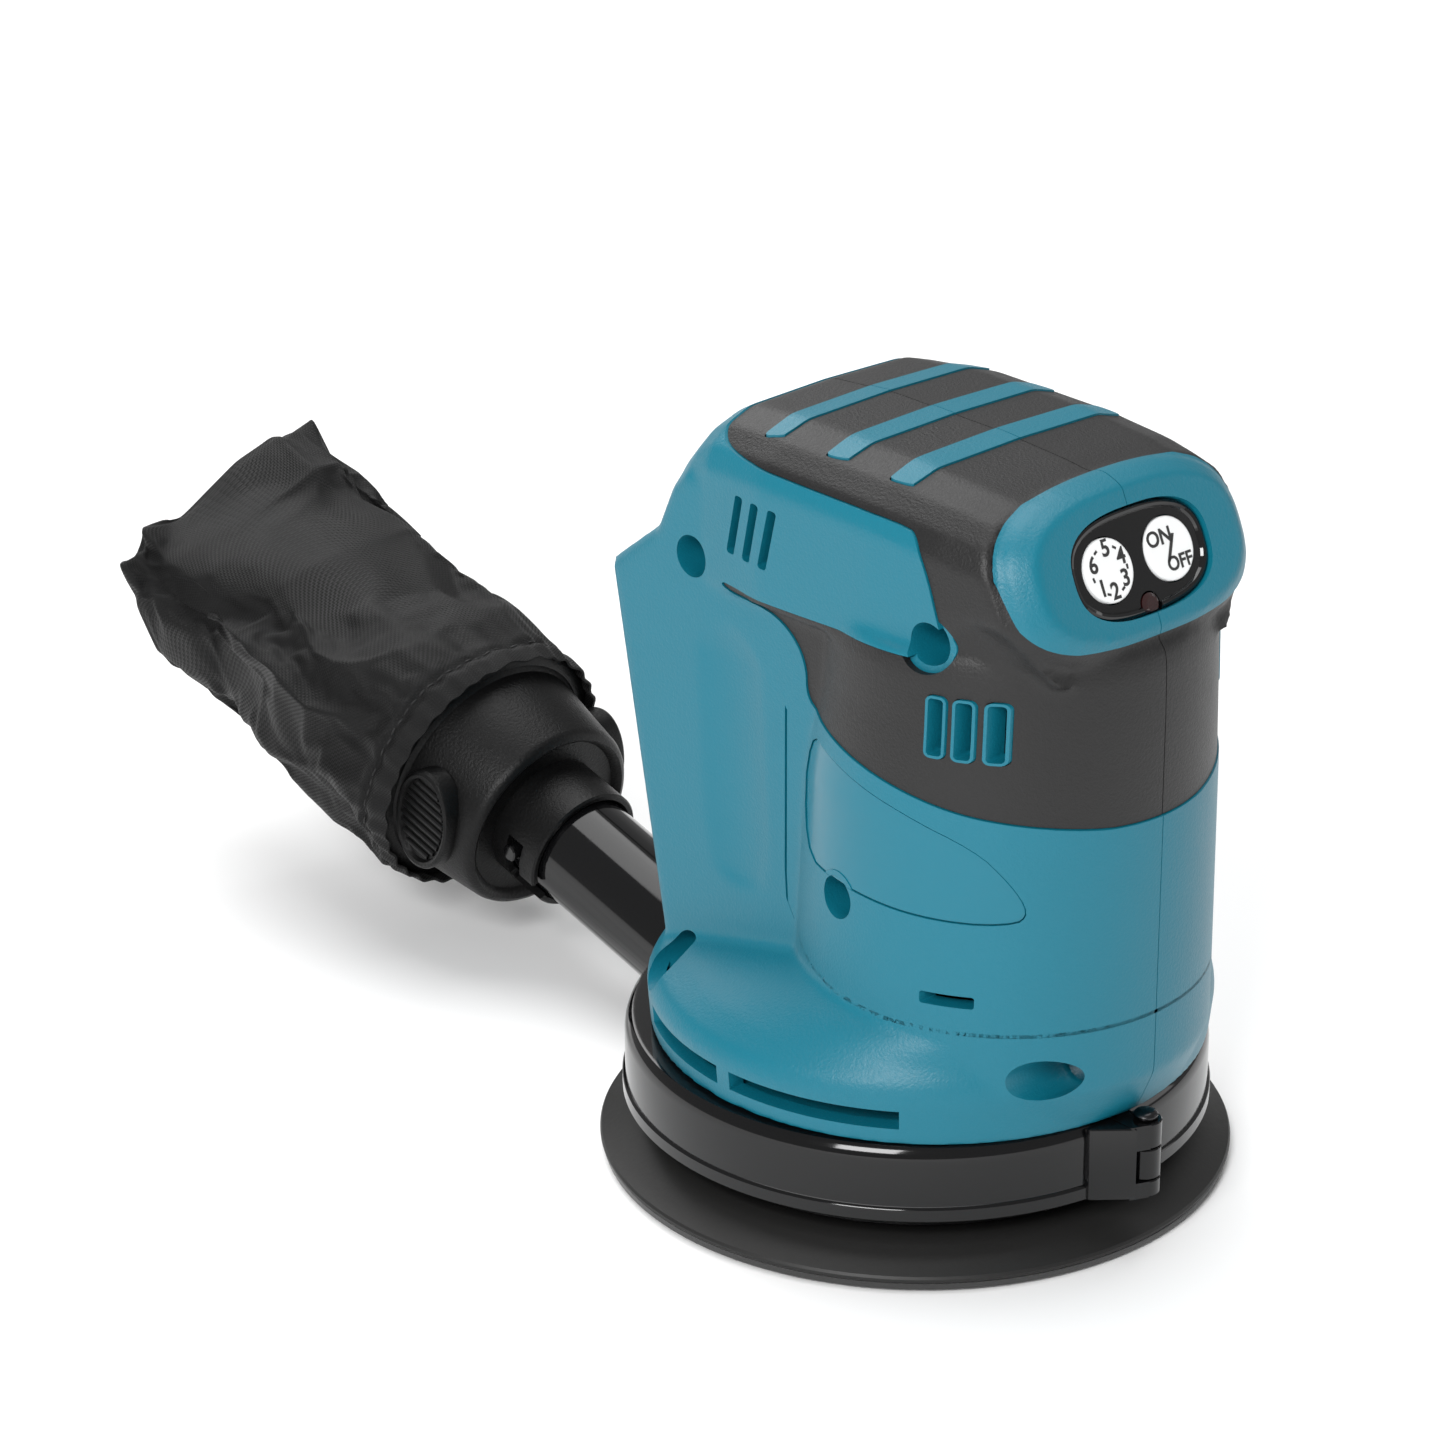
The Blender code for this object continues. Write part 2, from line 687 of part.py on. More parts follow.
def eccentric():
    """Counterweight that carries the pad bearing off the motor axis."""
    block = disc("counterweight", 14.2, 19.6, 28.5, 36, pad_place())
    lobe = []
    for k in range(13):
        a = math.radians(110 + 140 * k / 12)
        lobe.append((19.0 * math.cos(a), 19.0 * math.sin(a)))
    lobe.append((0.0, 0.0))
    join(block, loft("lobe", [[(x, y, z) for x, y in lobe] for z in (22.0, 28.5)]))
    cut(block, disc("seat", 10.0 + GAP, 10, 27.0, 32, pad_place()))
    cut(block, disc("bore", SHAFT_R + GAP, 20, 40, 24))
    finish(block, STEEL)
    finish(tube("pad_bearing", 10.0, 4.7 + GAP, 19.4, 26.6, 28, pad_place()), STEEL)
    spindle = turned("pad_spindle", [(0, 14.4), (15.5, 14.4), (15.5, 17.2), (7.0, 18.6),
                                     (4.7, 19.0), (4.7, 26.2), (0, 26.2)], 24)
    for k in range(4):
        cut(spindle, screw_hole(k, 1.6, 10, 19))
    spindle.data.transform(Matrix.Identity(4))
    finish(move_to_pad(spindle), ALUMINIUM)


def move_to_pad(item):
    item.location = orbit_offset()
    return item


def screw_hole(index, radius, low, high):
    a = math.radians(45 + 90 * index)
    place = Matrix.Translation((PAD_SCREW_PCD_R * math.cos(a) * MM,
                                PAD_SCREW_PCD_R * math.sin(a) * MM, 0))
    return disc("pad_screw_hole", radius, low, high, 8, place)


def dust_holes(target, radius):
    for k in range(DUST_HOLES):
        a = 2 * math.pi * (k + 0.5) / DUST_HOLES
        place = Matrix.Translation((DUST_PCD_R * math.cos(a) * MM,
                                    DUST_PCD_R * math.sin(a) * MM, 0))
        cut(target, disc("dust_hole", radius, -2, 20, 8, place))


# ----------------------------------------------------------------------- pad

def pad():
    hook = disc("hook_face", PAD_R - 0.5, DATUM_DROP, DATUM_DROP + 1.3, 44)
    foam = turned("pad_foam", [(0, 4.5), (PAD_R, 4.5), (PAD_R - 0.4, 6.0), (53.0, 10.6),
                               (0, 10.6)], 44)
    hub = turned("pad_hub", [(0, 10.9), (51.2, 10.9), (50.2, 12.4), (47.0, 12.9),
                             (46.0, PAD_TOP), (0, PAD_TOP)], 32)
    for item in (hook, foam, hub):
        dust_holes(item, DUST_HOLE_R)
    for k in range(4):
        cut(hook, screw_hole(k, 3.4, -2, 5))
        cut(foam, screw_hole(k, 3.4, 0, 12))
        cut(hub, screw_hole(k, 1.9, 5, 20))
    finish(move_to_pad(hook), FABRIC)
    finish(move_to_pad(foam), MATTE_BLACK)
    finish(move_to_pad(hub), MATTE_BLACK)
    for k in range(4):
        screw = screw_hole(k, 3.0, 7.6, 10.6)
        screw.name = "pad_screw_" + str(k + 1)
        join(screw, screw_hole(k, 1.3, 10.0, 17.8))
        finish(move_to_pad(screw), STEEL)


# ------------------------------------------------------------ dust ring, spout

def pad_clearance(margin):
    """Room the orbiting pad needs under the spout."""
    return turned("clearance", [(0, -5), (64.0 + margin, -5), (64.0 + margin, 5.5 + margin),
                                (57.2 + margin, 12.6 + margin), (56.4 + margin, RING_LOW),
                                (0, RING_LOW)], 40)


def shroud_body():
    ring = turned("shroud", [(54.6, RING_LOW), (RING_R, RING_LOW), (RING_R, 18.4),
                             (56.5, 18.7), (56.5, 28.8), (55.2, RING_TOP),
                             (46.0, RING_TOP), (46.0, 28.4), (54.6, 28.4)], 48)
    place = spout_place()
    neck = disc("neck", 13.4, 0, 12.0, 28, place)
    outside = join(neck, disc("spout", SPOUT_R, 2.0, SPOUT_LENGTH, 24, place))
    cut(outside, disc("ring_inside", 55.0, -20, 60, 48), pad_clearance(0.0))
    cut(outside, box("above", (-60, -80, RING_TOP), (60, 56.0, 80)))
    join(ring, outside)
    bore = disc("bore", SPOUT_BORE_R, -6.0, SPOUT_LENGTH + 5, 20, place)
    return cut(ring, cut(bore, pad_clearance(1.8)))


def shroud_halves():
    whole = shroud_body()
    knuckle = 3.1
    left_spans = ((RING_LOW, 18.8), (25.6, RING_TOP))
    right_span = (19.1, 25.3)
    hinge = Matrix.Translation((0, HINGE_Y * MM, 0))
    for side, word in ((-1, "left"), (1, "right")):
        half = duplicate(whole, "shroud_" + word)
        keep(half, half_space(side))
        spans = left_spans if side < 0 else (right_span,)
        others = (right_span,) if side < 0 else left_spans
        for low, high in others:
            room = box("room", (-3.8, HINGE_Y - 5, low - GAP), (3.8, -56.0, high + GAP))
            cut(half, room)
        if side < 0:
            lug = [(-11.0, -55.2), (-10.8, -56.4), (-4.1, -62.2), (-4.1, -55.2)]
            join(half, loft("lug", [[(x, y, z) for x, y in lug] for z in (RING_LOW, RING_TOP)]))
        for low, high in spans:
            x0, x1 = sorted((side * (5.0 if side < 0 else 3.1), side * SEAM))
            arm = box("arm", (x0, HINGE_Y - 0.6, low), (x1, -55.2, high))
            if side < 0:
                web = [(-5.2, -60.0), (-5.0, -61.4), (-1.4, -63.0), (0.0, -60.0)]
                join(half, loft("web", [[(x, y, z) for x, y in web] for z in (low, high)]))
            join(half, arm, disc("knuckle", knuckle, low, high, 20, hinge))
        cut(half, disc("pin_hole", 1.3 + GAP, 0, 60, 16, hinge))
        finish(half, GLOSS_BLACK)
    discard(whole)
    pin = turned("shroud_hinge_pin", [(0, 16.2), (1.3, 16.2), (1.3, 31.0), (2.2, 31.0),
                                      (2.2, 31.9), (1.4, 32.5), (0, 32.5)], 16, hinge)
    finish(pin, STEEL)
    skirt = turned("brake_ring", [(50.6, 15.8), (53.8, 15.8), (54.2, 19.5),
                                  (52.4, 19.5)], 40)
    finish(skirt, SOFT_BLACK)


# ------------------------------------------------------------------ dust bag

def bag_collar():
    loop = [
        (SPOUT_R + GAP, COLLAR_RIM), (13.7, COLLAR_RIM), (13.7, CUP_FRONT + 5.0),
        (18.2, CUP_FRONT + 5.0), (18.8, CUP_FRONT + 0.8), (19.8, CUP_FRONT),
        (21.0, CUP_FRONT + 0.8), (21.6, CUP_FRONT + 2.0), (24.2, CUP_BACK - 4.2),
        (FLANGE_R, CUP_BACK - 3.4), (FLANGE_R, CUP_BACK - 1.6), (25.4, CUP_BACK - 1.2),
        (25.4, CUP_BACK + 6.0), (23.2, CUP_BACK + 6.0), (22.4, CUP_FRONT + 8.0),
        (SPOUT_R + GAP, CUP_FRONT + 8.0),
    ]
    collar = turned("bag_collar", loop, 26)
    run = box("slot_run", (-20, -2.6, COLLAR_RIM - 1), (-8, 2.6, COLLAR_RIM + 8.0),
              Matrix.Rotation(math.radians(-32), 4, "Z"))
    catch = turned("slot_catch", [(8, COLLAR_RIM + 4.4), (20, COLLAR_RIM + 4.4),
                                  (20, COLLAR_RIM + 9.0), (8, COLLAR_RIM + 9.0)], 26)
    corner = [(0.0, 0.0)]
    for k in range(9):
        a = math.radians(180 - 37 + (37 + 12) * k / 8)
        corner.append((25 * math.cos(a), 25 * math.sin(a)))
    keep(catch, loft("sector", [[(x, y, z) for x, y in corner] for z in (40, 70)]))
    cut(collar, run, catch)
    for side in (-1, 1):
        centre = Matrix.Translation((side * 23.2 * MM, 0, (CUP_BACK - 14.8) * MM))
        oval = centre @ Matrix.Diagonal((1.0, 1.0, 0.85, 1.0)) @ \
            Matrix.Rotation(math.pi / 2, 4, "Y")
        join(collar, disc("finger_pad", 9.0, -3.0, 1.4, 20, oval))
    collar.matrix_world = spout_place()
    finish(collar, MATTE_BLACK)


def spout_stud():
    """Bayonet stud on the left half of the spout."""
    half = bpy.data.objects["shroud_left"]
    place = spout_place() @ Matrix.Translation((0, 0, (COLLAR_RIM + 6.7) * MM)) @ \
        Matrix.Rotation(-math.pi / 2, 4, "Y")
    join(half, disc("stud", 1.8, SPOUT_R - 1.6, SPOUT_R + 3.2, 16, place))


def bag_section(height, half_width, half_height, power, roll=0.0, lean=0.0, segments=24):
    """Rounded-oblong ring of the bag, rolled about the spout axis."""
    points = []
    turn = math.radians(roll)
    for k in range(segments):
        a = 2 * math.pi * k / segments
        c, s = math.cos(a), math.sin(a)
        share = 2.0 / power
        x = half_width * math.copysign(abs(c) ** share, c)
        y = half_height * math.copysign(abs(s) ** share, s)
        across = x * math.cos(turn) + y * math.sin(turn)
        down = y * math.cos(turn) - x * math.sin(turn)
        points.append((across, down, height - lean * down))
    return points


def dust_bag():
    """Plain closed bag, hollow and open only at the collar's mouth."""
    start = BAG_START
    outer = [(start, 27.0, 27.0, 2.0), (start + 2, 29.2, 29.2, 2.0),
             (start + 9, 29.8, 29.4, 2.1, 2.0), (start + 28, BAG_HALF_WIDTH, 28.0, 2.6, 6.0),
             (start + 58, BAG_HALF_WIDTH, 26.0, 3.2, 10.0, 0.1),
             (start + 84, 29.6, 20.0, 3.8, 14.0, 0.3), (start + 97, 28.6, 14.0, 4.0, 16.0, 0.5)]
    bag = loft("dust_bag", [bag_section(*ring) for ring in outer])
    inner = [(start - 2, 25.6, 25.6, 2.0), (start + 0.9, 25.6, 25.6, 2.0),
             (start + 1.9, 28.1, 28.1, 2.0), (start + 6, 28.1, 28.1, 2.0),
             (start + 28, 27.6, 25.6, 2.6, 6.0), (start + 58, 27.6, 23.6, 3.2, 10.0, 0.1),
             (start + 84, 27.2, 17.6, 3.8, 14.0, 0.3), (start + 94, 26.4, 12.4, 4.0, 16.0, 0.5)]
    cut(bag, loft("hollow", [bag_section(*ring) for ring in inner]))
    bag.matrix_world = spout_place()
    finish(bag, FABRIC)
    clamp = tube("bag_clamp_ring", 22.2, 20.7, CUP_BACK + 0.5, CUP_BACK + 5.5, 26)
    clamp.matrix_world = spout_place()
    finish(clamp, STEEL)


def lower_to_origin():
    for item in bpy.data.objects:
        item.matrix_world = Matrix.Translation((0, 0, -DATUM_DROP * MM)) @ item.matrix_world


def main():
    clear_scene()
    housing_and_grips()
    housing_screws()
    control_panel()
    battery_connection()
    battery_leads()
    motor()
    fan()
    eccentric()
    pad()
    shroud_halves()
    spout_stud()
    bag_collar()
    dust_bag()
    lower_to_origin()


main()
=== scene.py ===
"""Looks of a cordless palm random-orbit sander, built around its packed model.

Lengths inside the piece classes are millimetres in the layout frame of the sander: +Z up,
the control panel towards -Y, the battery seat and the dust spout towards +Y. The layout
datum lies DATUM_DROP under the sanding face, and each finished piece is lowered by it.
"""

from __future__ import annotations

import json
import logging
import math
from dataclasses import dataclass
from enum import Enum

import bmesh
import bpy
from mathutils import Matrix, Vector, noise

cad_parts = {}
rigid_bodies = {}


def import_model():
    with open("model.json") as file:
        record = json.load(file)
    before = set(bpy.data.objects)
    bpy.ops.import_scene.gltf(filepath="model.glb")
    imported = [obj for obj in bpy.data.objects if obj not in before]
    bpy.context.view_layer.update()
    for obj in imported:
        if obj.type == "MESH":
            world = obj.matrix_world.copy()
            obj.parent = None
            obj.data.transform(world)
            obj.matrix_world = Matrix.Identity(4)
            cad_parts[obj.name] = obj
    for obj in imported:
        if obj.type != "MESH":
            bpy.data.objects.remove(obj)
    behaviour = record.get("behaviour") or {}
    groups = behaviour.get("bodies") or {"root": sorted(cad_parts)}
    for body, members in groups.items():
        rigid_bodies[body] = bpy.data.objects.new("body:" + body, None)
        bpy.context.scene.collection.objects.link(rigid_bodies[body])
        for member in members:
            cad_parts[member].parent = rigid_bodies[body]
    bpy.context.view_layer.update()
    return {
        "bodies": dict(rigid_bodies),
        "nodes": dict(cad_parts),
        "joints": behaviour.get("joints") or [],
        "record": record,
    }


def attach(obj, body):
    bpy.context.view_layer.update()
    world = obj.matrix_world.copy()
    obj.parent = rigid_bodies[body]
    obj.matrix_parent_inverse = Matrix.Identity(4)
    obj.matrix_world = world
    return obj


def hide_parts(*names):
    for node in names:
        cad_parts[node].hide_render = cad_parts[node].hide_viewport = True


LOG = logging.getLogger("sander")

MM = 0.001
DATUM_DROP = 2.9
SEAM = 0.09
SKIN = 1.6
WALL = 3.6
FAR = 400.0
PAD_OFFSET = (0.937, 1.040)
SPOUT_FOOT = (0.0, 50.0, 16.6)
SPOUT_RISE = 16.0
PANEL_MIDDLE = (0.0, -54.65, 140.1)
PANEL_LEAN = 24.4
REAR_FOOT = (38.6, 43.0)
REAR_TOP = (52.8, 117.4)

Point = tuple[float, float, float]
Flat = tuple[float, float]
Ring = list[Point]
Thing = bpy.types.Object


class Side(Enum):
    """The two halves of the clamshell body."""

    LEFT = -1
    RIGHT = 1

    @property
    def word(self) -> str:
        """Lower-case word for a piece's name."""
        return self.name.lower()


class Operation(Enum):
    """What a Boolean does with its two bodies."""

    CUT = "DIFFERENCE"
    JOIN = "UNION"
    KEEP = "INTERSECT"


# ------------------------------------------------------------------ mesh making

def link(name: str, mesh: bpy.types.Mesh) -> Thing:
    """Make an object of a mesh and link it to the scene.

    Args:
        name: Name of the object.
        mesh: Its mesh.

    Returns:
        The new object.
    """
    made = bpy.data.objects.new(name, mesh)
    bpy.context.scene.collection.objects.link(made)
    return made


def solid(name: str, points: list[Point], faces: list[tuple[int, ...]],
          place: Matrix | None = None) -> Thing:
    """Make a closed body from points in millimetres, faces turned outwards.

    Args:
        name: Name of the object.
        points: Corners, in millimetres.
        faces: Corner numbers of each face.
        place: Where the finished mesh is put, in metres.

    Returns:
        The new object.
    """
    mesh = bpy.data.meshes.new(name)
    mesh.from_pydata([Vector(p) * MM for p in points], [], faces)
    builder = bmesh.new()
    builder.from_mesh(mesh)
    bmesh.ops.recalc_face_normals(builder, faces=builder.faces)
    builder.to_mesh(mesh)
    builder.free()
    if place is not None:
        mesh.transform(place)
    return link(name, mesh)


def loft(name: str, rings: list[Ring], place: Matrix | None = None) -> Thing:
    """Skin a closed body over rings of equal point count.

    Args:
        name: Name of the object.
        rings: Rings of points, in order along the body.
        place: Where the finished mesh is put.

    Returns:
        The new object.
    """
    count = len(rings[0])
    points = [p for ring in rings for p in ring]
    faces = [tuple(range(count))[::-1]]
    for level in range(len(rings) - 1):
        base = level * count
        for i in range(count):
            j = (i + 1) % count
            faces.append((base + i, base + j, base + count + j, base + count + i))
    faces.append(tuple(range(len(points) - count, len(points))))
    return solid(name, points, faces, place)


def circle(x: float, y: float, radius: float, count: int) -> list[Flat]:
    """Lay points round a circle, anticlockwise.

    Args:
        x: First coordinate of its middle.
        y: Second coordinate of its middle.
        radius: Its radius.
        count: How many points.

    Returns:
        The points.
    """
    steps = [2 * math.pi * k / count for k in range(count)]
    return [(x + radius * math.cos(a), y + radius * math.sin(a)) for a in steps]


def turned(name: str, profile: list[Flat], segments: int = 96,
           place: Matrix | None = None) -> Thing:
    """Turn a closed loop of (radius, height) about Z.

    Args:
        name: Name of the object.
        profile: The loop's corners.
        segments: Steps round the axis.
        place: Where the finished mesh is put.

    Returns:
        The new object.
    """
    points: list[Point] = []
    starts: list[int] = []
    single: list[bool] = []
    for radius, height in profile:
        starts.append(len(points))
        single.append(radius < 1e-6)
        count = 1 if single[-1] else segments
        points += [(x, y, height) for x, y in circle(0.0, 0.0, radius, segments)[:count]]
    faces = []
    for level in range(len(profile)):
        other = (level + 1) % len(profile)
        if single[level] and single[other]:
            continue
        for i in range(segments):
            j = (i + 1) % segments
            corners = (starts[level] + (0 if single[level] else i),
                       starts[level] + (0 if single[level] else j),
                       starts[other] + (0 if single[other] else j),
                       starts[other] + (0 if single[other] else i))
            faces.append(tuple(dict.fromkeys(corners)))
    return solid(name, points, faces, place)


def disc(name: str, radius: float, low: float, high: float, segments: int = 48,
         place: Matrix | None = None) -> Thing:
    """Make a plain round plug, used as a cutter or a core."""
    return turned(name, [(0, low), (radius, low), (radius, high), (0, high)], segments, place)


def tube(name: str, outer: float, inner: float, low: float, high: float,
         segments: int = 64, place: Matrix | None = None) -> Thing:
    """Make a plain sleeve, used as a rib or a clearance."""
    loop = [(inner, low), (outer, low), (outer, high), (inner, high)]
    return turned(name, loop, segments, place)


def box(name: str, low: Point, high: Point, place: Matrix | None = None) -> Thing:
    """Make a plain block, used as a cutter or a rib.

    Args:
        name: Name of the object.
        low: Its lowest corner.
        high: Its highest corner.
        place: Where the finished mesh is put.

    Returns:
        The block.
    """
    (x0, y0, z0), (x1, y1, z1) = low, high
    ring = [(x0, y0), (x1, y0), (x1, y1), (x0, y1)]
    return loft(name, [[(x, y, z) for x, y in ring] for z in (z0, z1)], place)


def prism_x(name: str, outline: list[Flat], low: float, high: float) -> Thing:
    """Extrude a (y, z) outline along X."""
    return loft(name, [[(x, y, z) for y, z in outline] for x in (low, high)])


def prism_z(name: str, outline: list[Flat], low: float, high: float,
            place: Matrix | None = None) -> Thing:
    """Extrude an (x, y) outline along Z."""
    return loft(name, [[(x, y, z) for x, y in outline] for z in (low, high)], place)


def rod_x(name: str, radius: float, y: float, z: float, low: float, high: float,
          segments: int = 40) -> Thing:
    """Make a round bar along X."""
    return prism_x(name, circle(y, z, radius, segments), low, high)


def evaluated_mesh(item: Thing) -> bpy.types.Mesh:
    """Take the mesh that an object's modifiers make.

    Args:
        item: The object, which keeps its own mesh.

    Returns:
        The new mesh.
    """
    bpy.context.view_layer.update()
    graph = bpy.context.evaluated_depsgraph_get()
    return bpy.data.meshes.new_from_object(item.evaluated_get(graph))


def apply_modifiers(item: Thing) -> Thing:
    """Turn an object's modifiers into its plain mesh.

    Args:
        item: The object to settle.

    Returns:
        The same object.
    """
    result = evaluated_mesh(item)
    item.modifiers.clear()
    old = item.data
    item.data = result
    bpy.data.meshes.remove(old)
    return item


def combine(target: Thing, tool: Thing, operation: Operation) -> Thing:
    """Boolean of a body with a tool, which is used up.

    Args:
        target: The body that is changed.
        tool: The other body.
        operation: What to do with the two.

    Returns:
        The changed body.
    """
    modifier = target.modifiers.new("combine", "BOOLEAN")
    modifier.operation = operation.value
    modifier.solver = "MANIFOLD"
    modifier.object = tool
    apply_modifiers(target)
    discard(tool)
    return target


def cut(target: Thing, *tools: Thing) -> Thing:
    """Take tools away from a body.

    Args:
        target: The body that is changed.
        tools: The other bodies, which are used up.

    Returns:
        The changed body.
    """
    for tool in tools:
        combine(target, tool, Operation.CUT)
    return target


def join(target: Thing, *tools: Thing) -> Thing:
    """Add tools to a body.

    Args:
        target: The body that is changed.
        tools: The other bodies, which are used up.

    Returns:
        The changed body.
    """
    for tool in tools:
        combine(target, tool, Operation.JOIN)
    return target


def keep(target: Thing, tool: Thing) -> Thing:
    """Keep what a body shares with a tool."""
    return combine(target, tool, Operation.KEEP)


def duplicate(source: Thing, name: str) -> Thing:
    """Copy an object and its mesh."""
    return link(name, source.data.copy())


def discard(*items: Thing) -> None:
    """Remove helper objects from the file."""
    for item in items:
        bpy.data.objects.remove(item, do_unlink=True)


def bundle(name: str, *items: Thing) -> Thing:
    """Gather bodies that don't touch into one object.

    Args:
        name: Name of the gathered object.
        items: The bodies, which are used up.

    Returns:
        The gathered object.
    """
    builder = bmesh.new()
    for item in items:
        builder.from_mesh(item.data)
    mesh = bpy.data.meshes.new(name)
    builder.to_mesh(mesh)
    builder.free()
    discard(*items)
    return link(name, mesh)


def soften(item: Thing, voxel: float, passes: int) -> Thing:
    """Round a body's edges and fill its inner corners a little.

    Args:
        item: A closed body.
        voxel: Grain of the new surface, in millimetres.
        passes: How many times the surface is relaxed.

    Returns:
        The same object with its new mesh.
    """
    remesh = item.modifiers.new("skin", "REMESH")
    remesh.mode = "VOXEL"
    remesh.voxel_size = voxel * MM
    relax = item.modifiers.new("relax", "SMOOTH")
    relax.factor = 0.5
    relax.iterations = passes
    return apply_modifiers(item)


def rounded(item: Thing, width: float, steps: int = 2, angle: float = 40.0) -> Thing:
    """Round the sharp edges of a plain body.

    Args:
        item: The body.
        width: Width of the rounding, in millimetres.
        steps: Segments across it.
        angle: Edges sharper than this many degrees are rounded.

    Returns:
        The same object.
    """
    bevel = item.modifiers.new("round", "BEVEL")
    bevel.width = width * MM
    bevel.segments = steps
    bevel.limit_method = "ANGLE"
    bevel.angle_limit = math.radians(angle)
    bevel.harden_normals = False
    return apply_modifiers(item)


def layer(source: Thing, name: str, distance: float) -> Thing:
    """Copy a smooth body, moved along its normals.

    Args:
        source: The smooth body.
        name: Name of the copy.
        distance: How far outwards, in millimetres.

    Returns:
        The copy.
    """
    made = duplicate(source, name)
    mesh = made.data
    normals = [v.normal.copy() for v in mesh.vertices]
    for vertex, normal in zip(mesh.vertices, normals):
        vertex.co += normal * (distance * MM)
    mesh.update()
    return made


def curved(outline: list[Flat], passes: int = 2) -> list[Flat]:
    """Round the corners of a closed outline by cutting them again and again.

    Args:
        outline: The corners.
        passes: How many times each corner is cut.

    Returns:
        The rounder outline.
    """
    for _ in range(passes):
        finer = []
        for here, after in zip(outline, outline[1:] + outline[:1]):
            for share in (0.25, 0.75):
                finer.append((here[0] + (after[0] - here[0]) * share,
                              here[1] + (after[1] - here[1]) * share))
        outline = finer
    return outline


def inset_outline(outline: list[Flat], distance: float) -> list[Flat]:
    """Move an anticlockwise outline inwards.

    Args:
        outline: The corners.
        distance: How far, in millimetres.

    Returns:
        The moved corners.
    """
    moved = []
    for i, corner in enumerate(outline):
        here = Vector(corner)
        first = (here - Vector(outline[i - 1])).normalized()
        second = (Vector(outline[(i + 1) % len(outline)]) - here).normalized()
        inward = Vector((-first.y - second.y, first.x + second.x))
        spread = max(0.4, inward.length / 2)
        moved.append(tuple(here + inward.normalized() * distance / spread))
    return moved


def half_space(side: Side, gap: float = SEAM) -> Thing:
    """Everything on one side of the parting plane, clear of it by a gap."""
    low, high = (-FAR, -gap) if side is Side.LEFT else (gap, FAR)
    return box("half", (low, -FAR, -FAR), (high, FAR, FAR))


def spout_place() -> Matrix:
    """Frame whose Z runs out along the spout and whose Y points down."""
    return (Matrix.Translation(Vector(SPOUT_FOOT) * MM)
            @ Matrix.Rotation(math.radians(SPOUT_RISE) - math.pi / 2, 4, "X"))


def panel_place() -> Matrix:
    """Frame of the control panel: X across, Y up it, Z out of it."""
    return (Matrix.Translation(Vector(PANEL_MIDDLE) * MM)
            @ Matrix.Rotation(math.pi / 2 - math.radians(PANEL_LEAN), 4, "X"))


def rear_place() -> Matrix:
    """Place the battery face: Y up it and Z out of it, from its low edge.

    Returns:
        The frame.
    """
    lean = math.atan2(REAR_TOP[0] - REAR_FOOT[0], REAR_TOP[1] - REAR_FOOT[1])
    return (Matrix.Translation(Vector((0, *REAR_FOOT)) * MM)
            @ Matrix.Rotation(math.pi, 4, "Z")
            @ Matrix.Rotation(math.pi / 2 + lean, 4, "X"))


def pad_place() -> Matrix:
    """Frame of the pad, off the motor axis by its orbit."""
    return Matrix.Translation(Vector((*PAD_OFFSET, 0)) * MM)


# -------------------------------------------------------------------- finishes

GRAIN_DEPTH = 0.0002
SCUFF_ROUGHNESS = 0.12
ROUGHNESS_DROP = 0.04
MOST_SPREAD = 0.3


class Tree:
    """A node tree being wired up, whose inputs take numbers and sockets alike."""

    def __init__(self, tree: bpy.types.NodeTree) -> None:
        """Keep the tree."""
        self.tree = tree

    def feed(self, node: bpy.types.Node, values: dict) -> bpy.types.Node:
        """Fill a node's inputs.

        Args:
            node: The node.
            values: A number, colour or socket for each input, by name or place.

        Returns:
            The same node.
        """
        for key, value in values.items():
            if isinstance(value, bpy.types.NodeSocket):
                self.tree.links.new(value, node.inputs[key])
            else:
                node.inputs[key].default_value = value
        return node

    def add(self, kind: str, values: dict | None = None, **settings: object) -> bpy.types.Node:
        """Add a node.

        Args:
            kind: The node's type name.
            values: What its inputs take.
            settings: Values of its properties.

        Returns:
            The new node.
        """
        node = self.tree.nodes.new(kind)
        for key, value in settings.items():
            setattr(node, key, value)
        return self.feed(node, values or {})

    def maths(self, operation: str, *values: object) -> bpy.types.NodeSocket:
        """Combine values or sockets, and hand back the result's socket."""
        return self.add("ShaderNodeMath", dict(enumerate(values)),
                        operation=operation).outputs[0]

    def strew(self, ends: tuple[bpy.types.Node, bpy.types.Node], values: dict) -> None:
        """Close a geometry tree with instances on points, made real and painted.

        Args:
            ends: The group's input node and output node.
            values: The points, the instance, and its scale and rotation.
        """
        start, end = ends
        placed = self.add("GeometryNodeInstanceOnPoints", values)
        real = self.add("GeometryNodeRealizeInstances",
                        {"Geometry": placed.outputs["Instances"]})
        paint = self.add("GeometryNodeSetMaterial", {"Geometry": real.outputs["Geometry"],
                                                     "Material": start.outputs["Material"]})
        self.feed(end, {"Mesh": paint.outputs["Geometry"]})


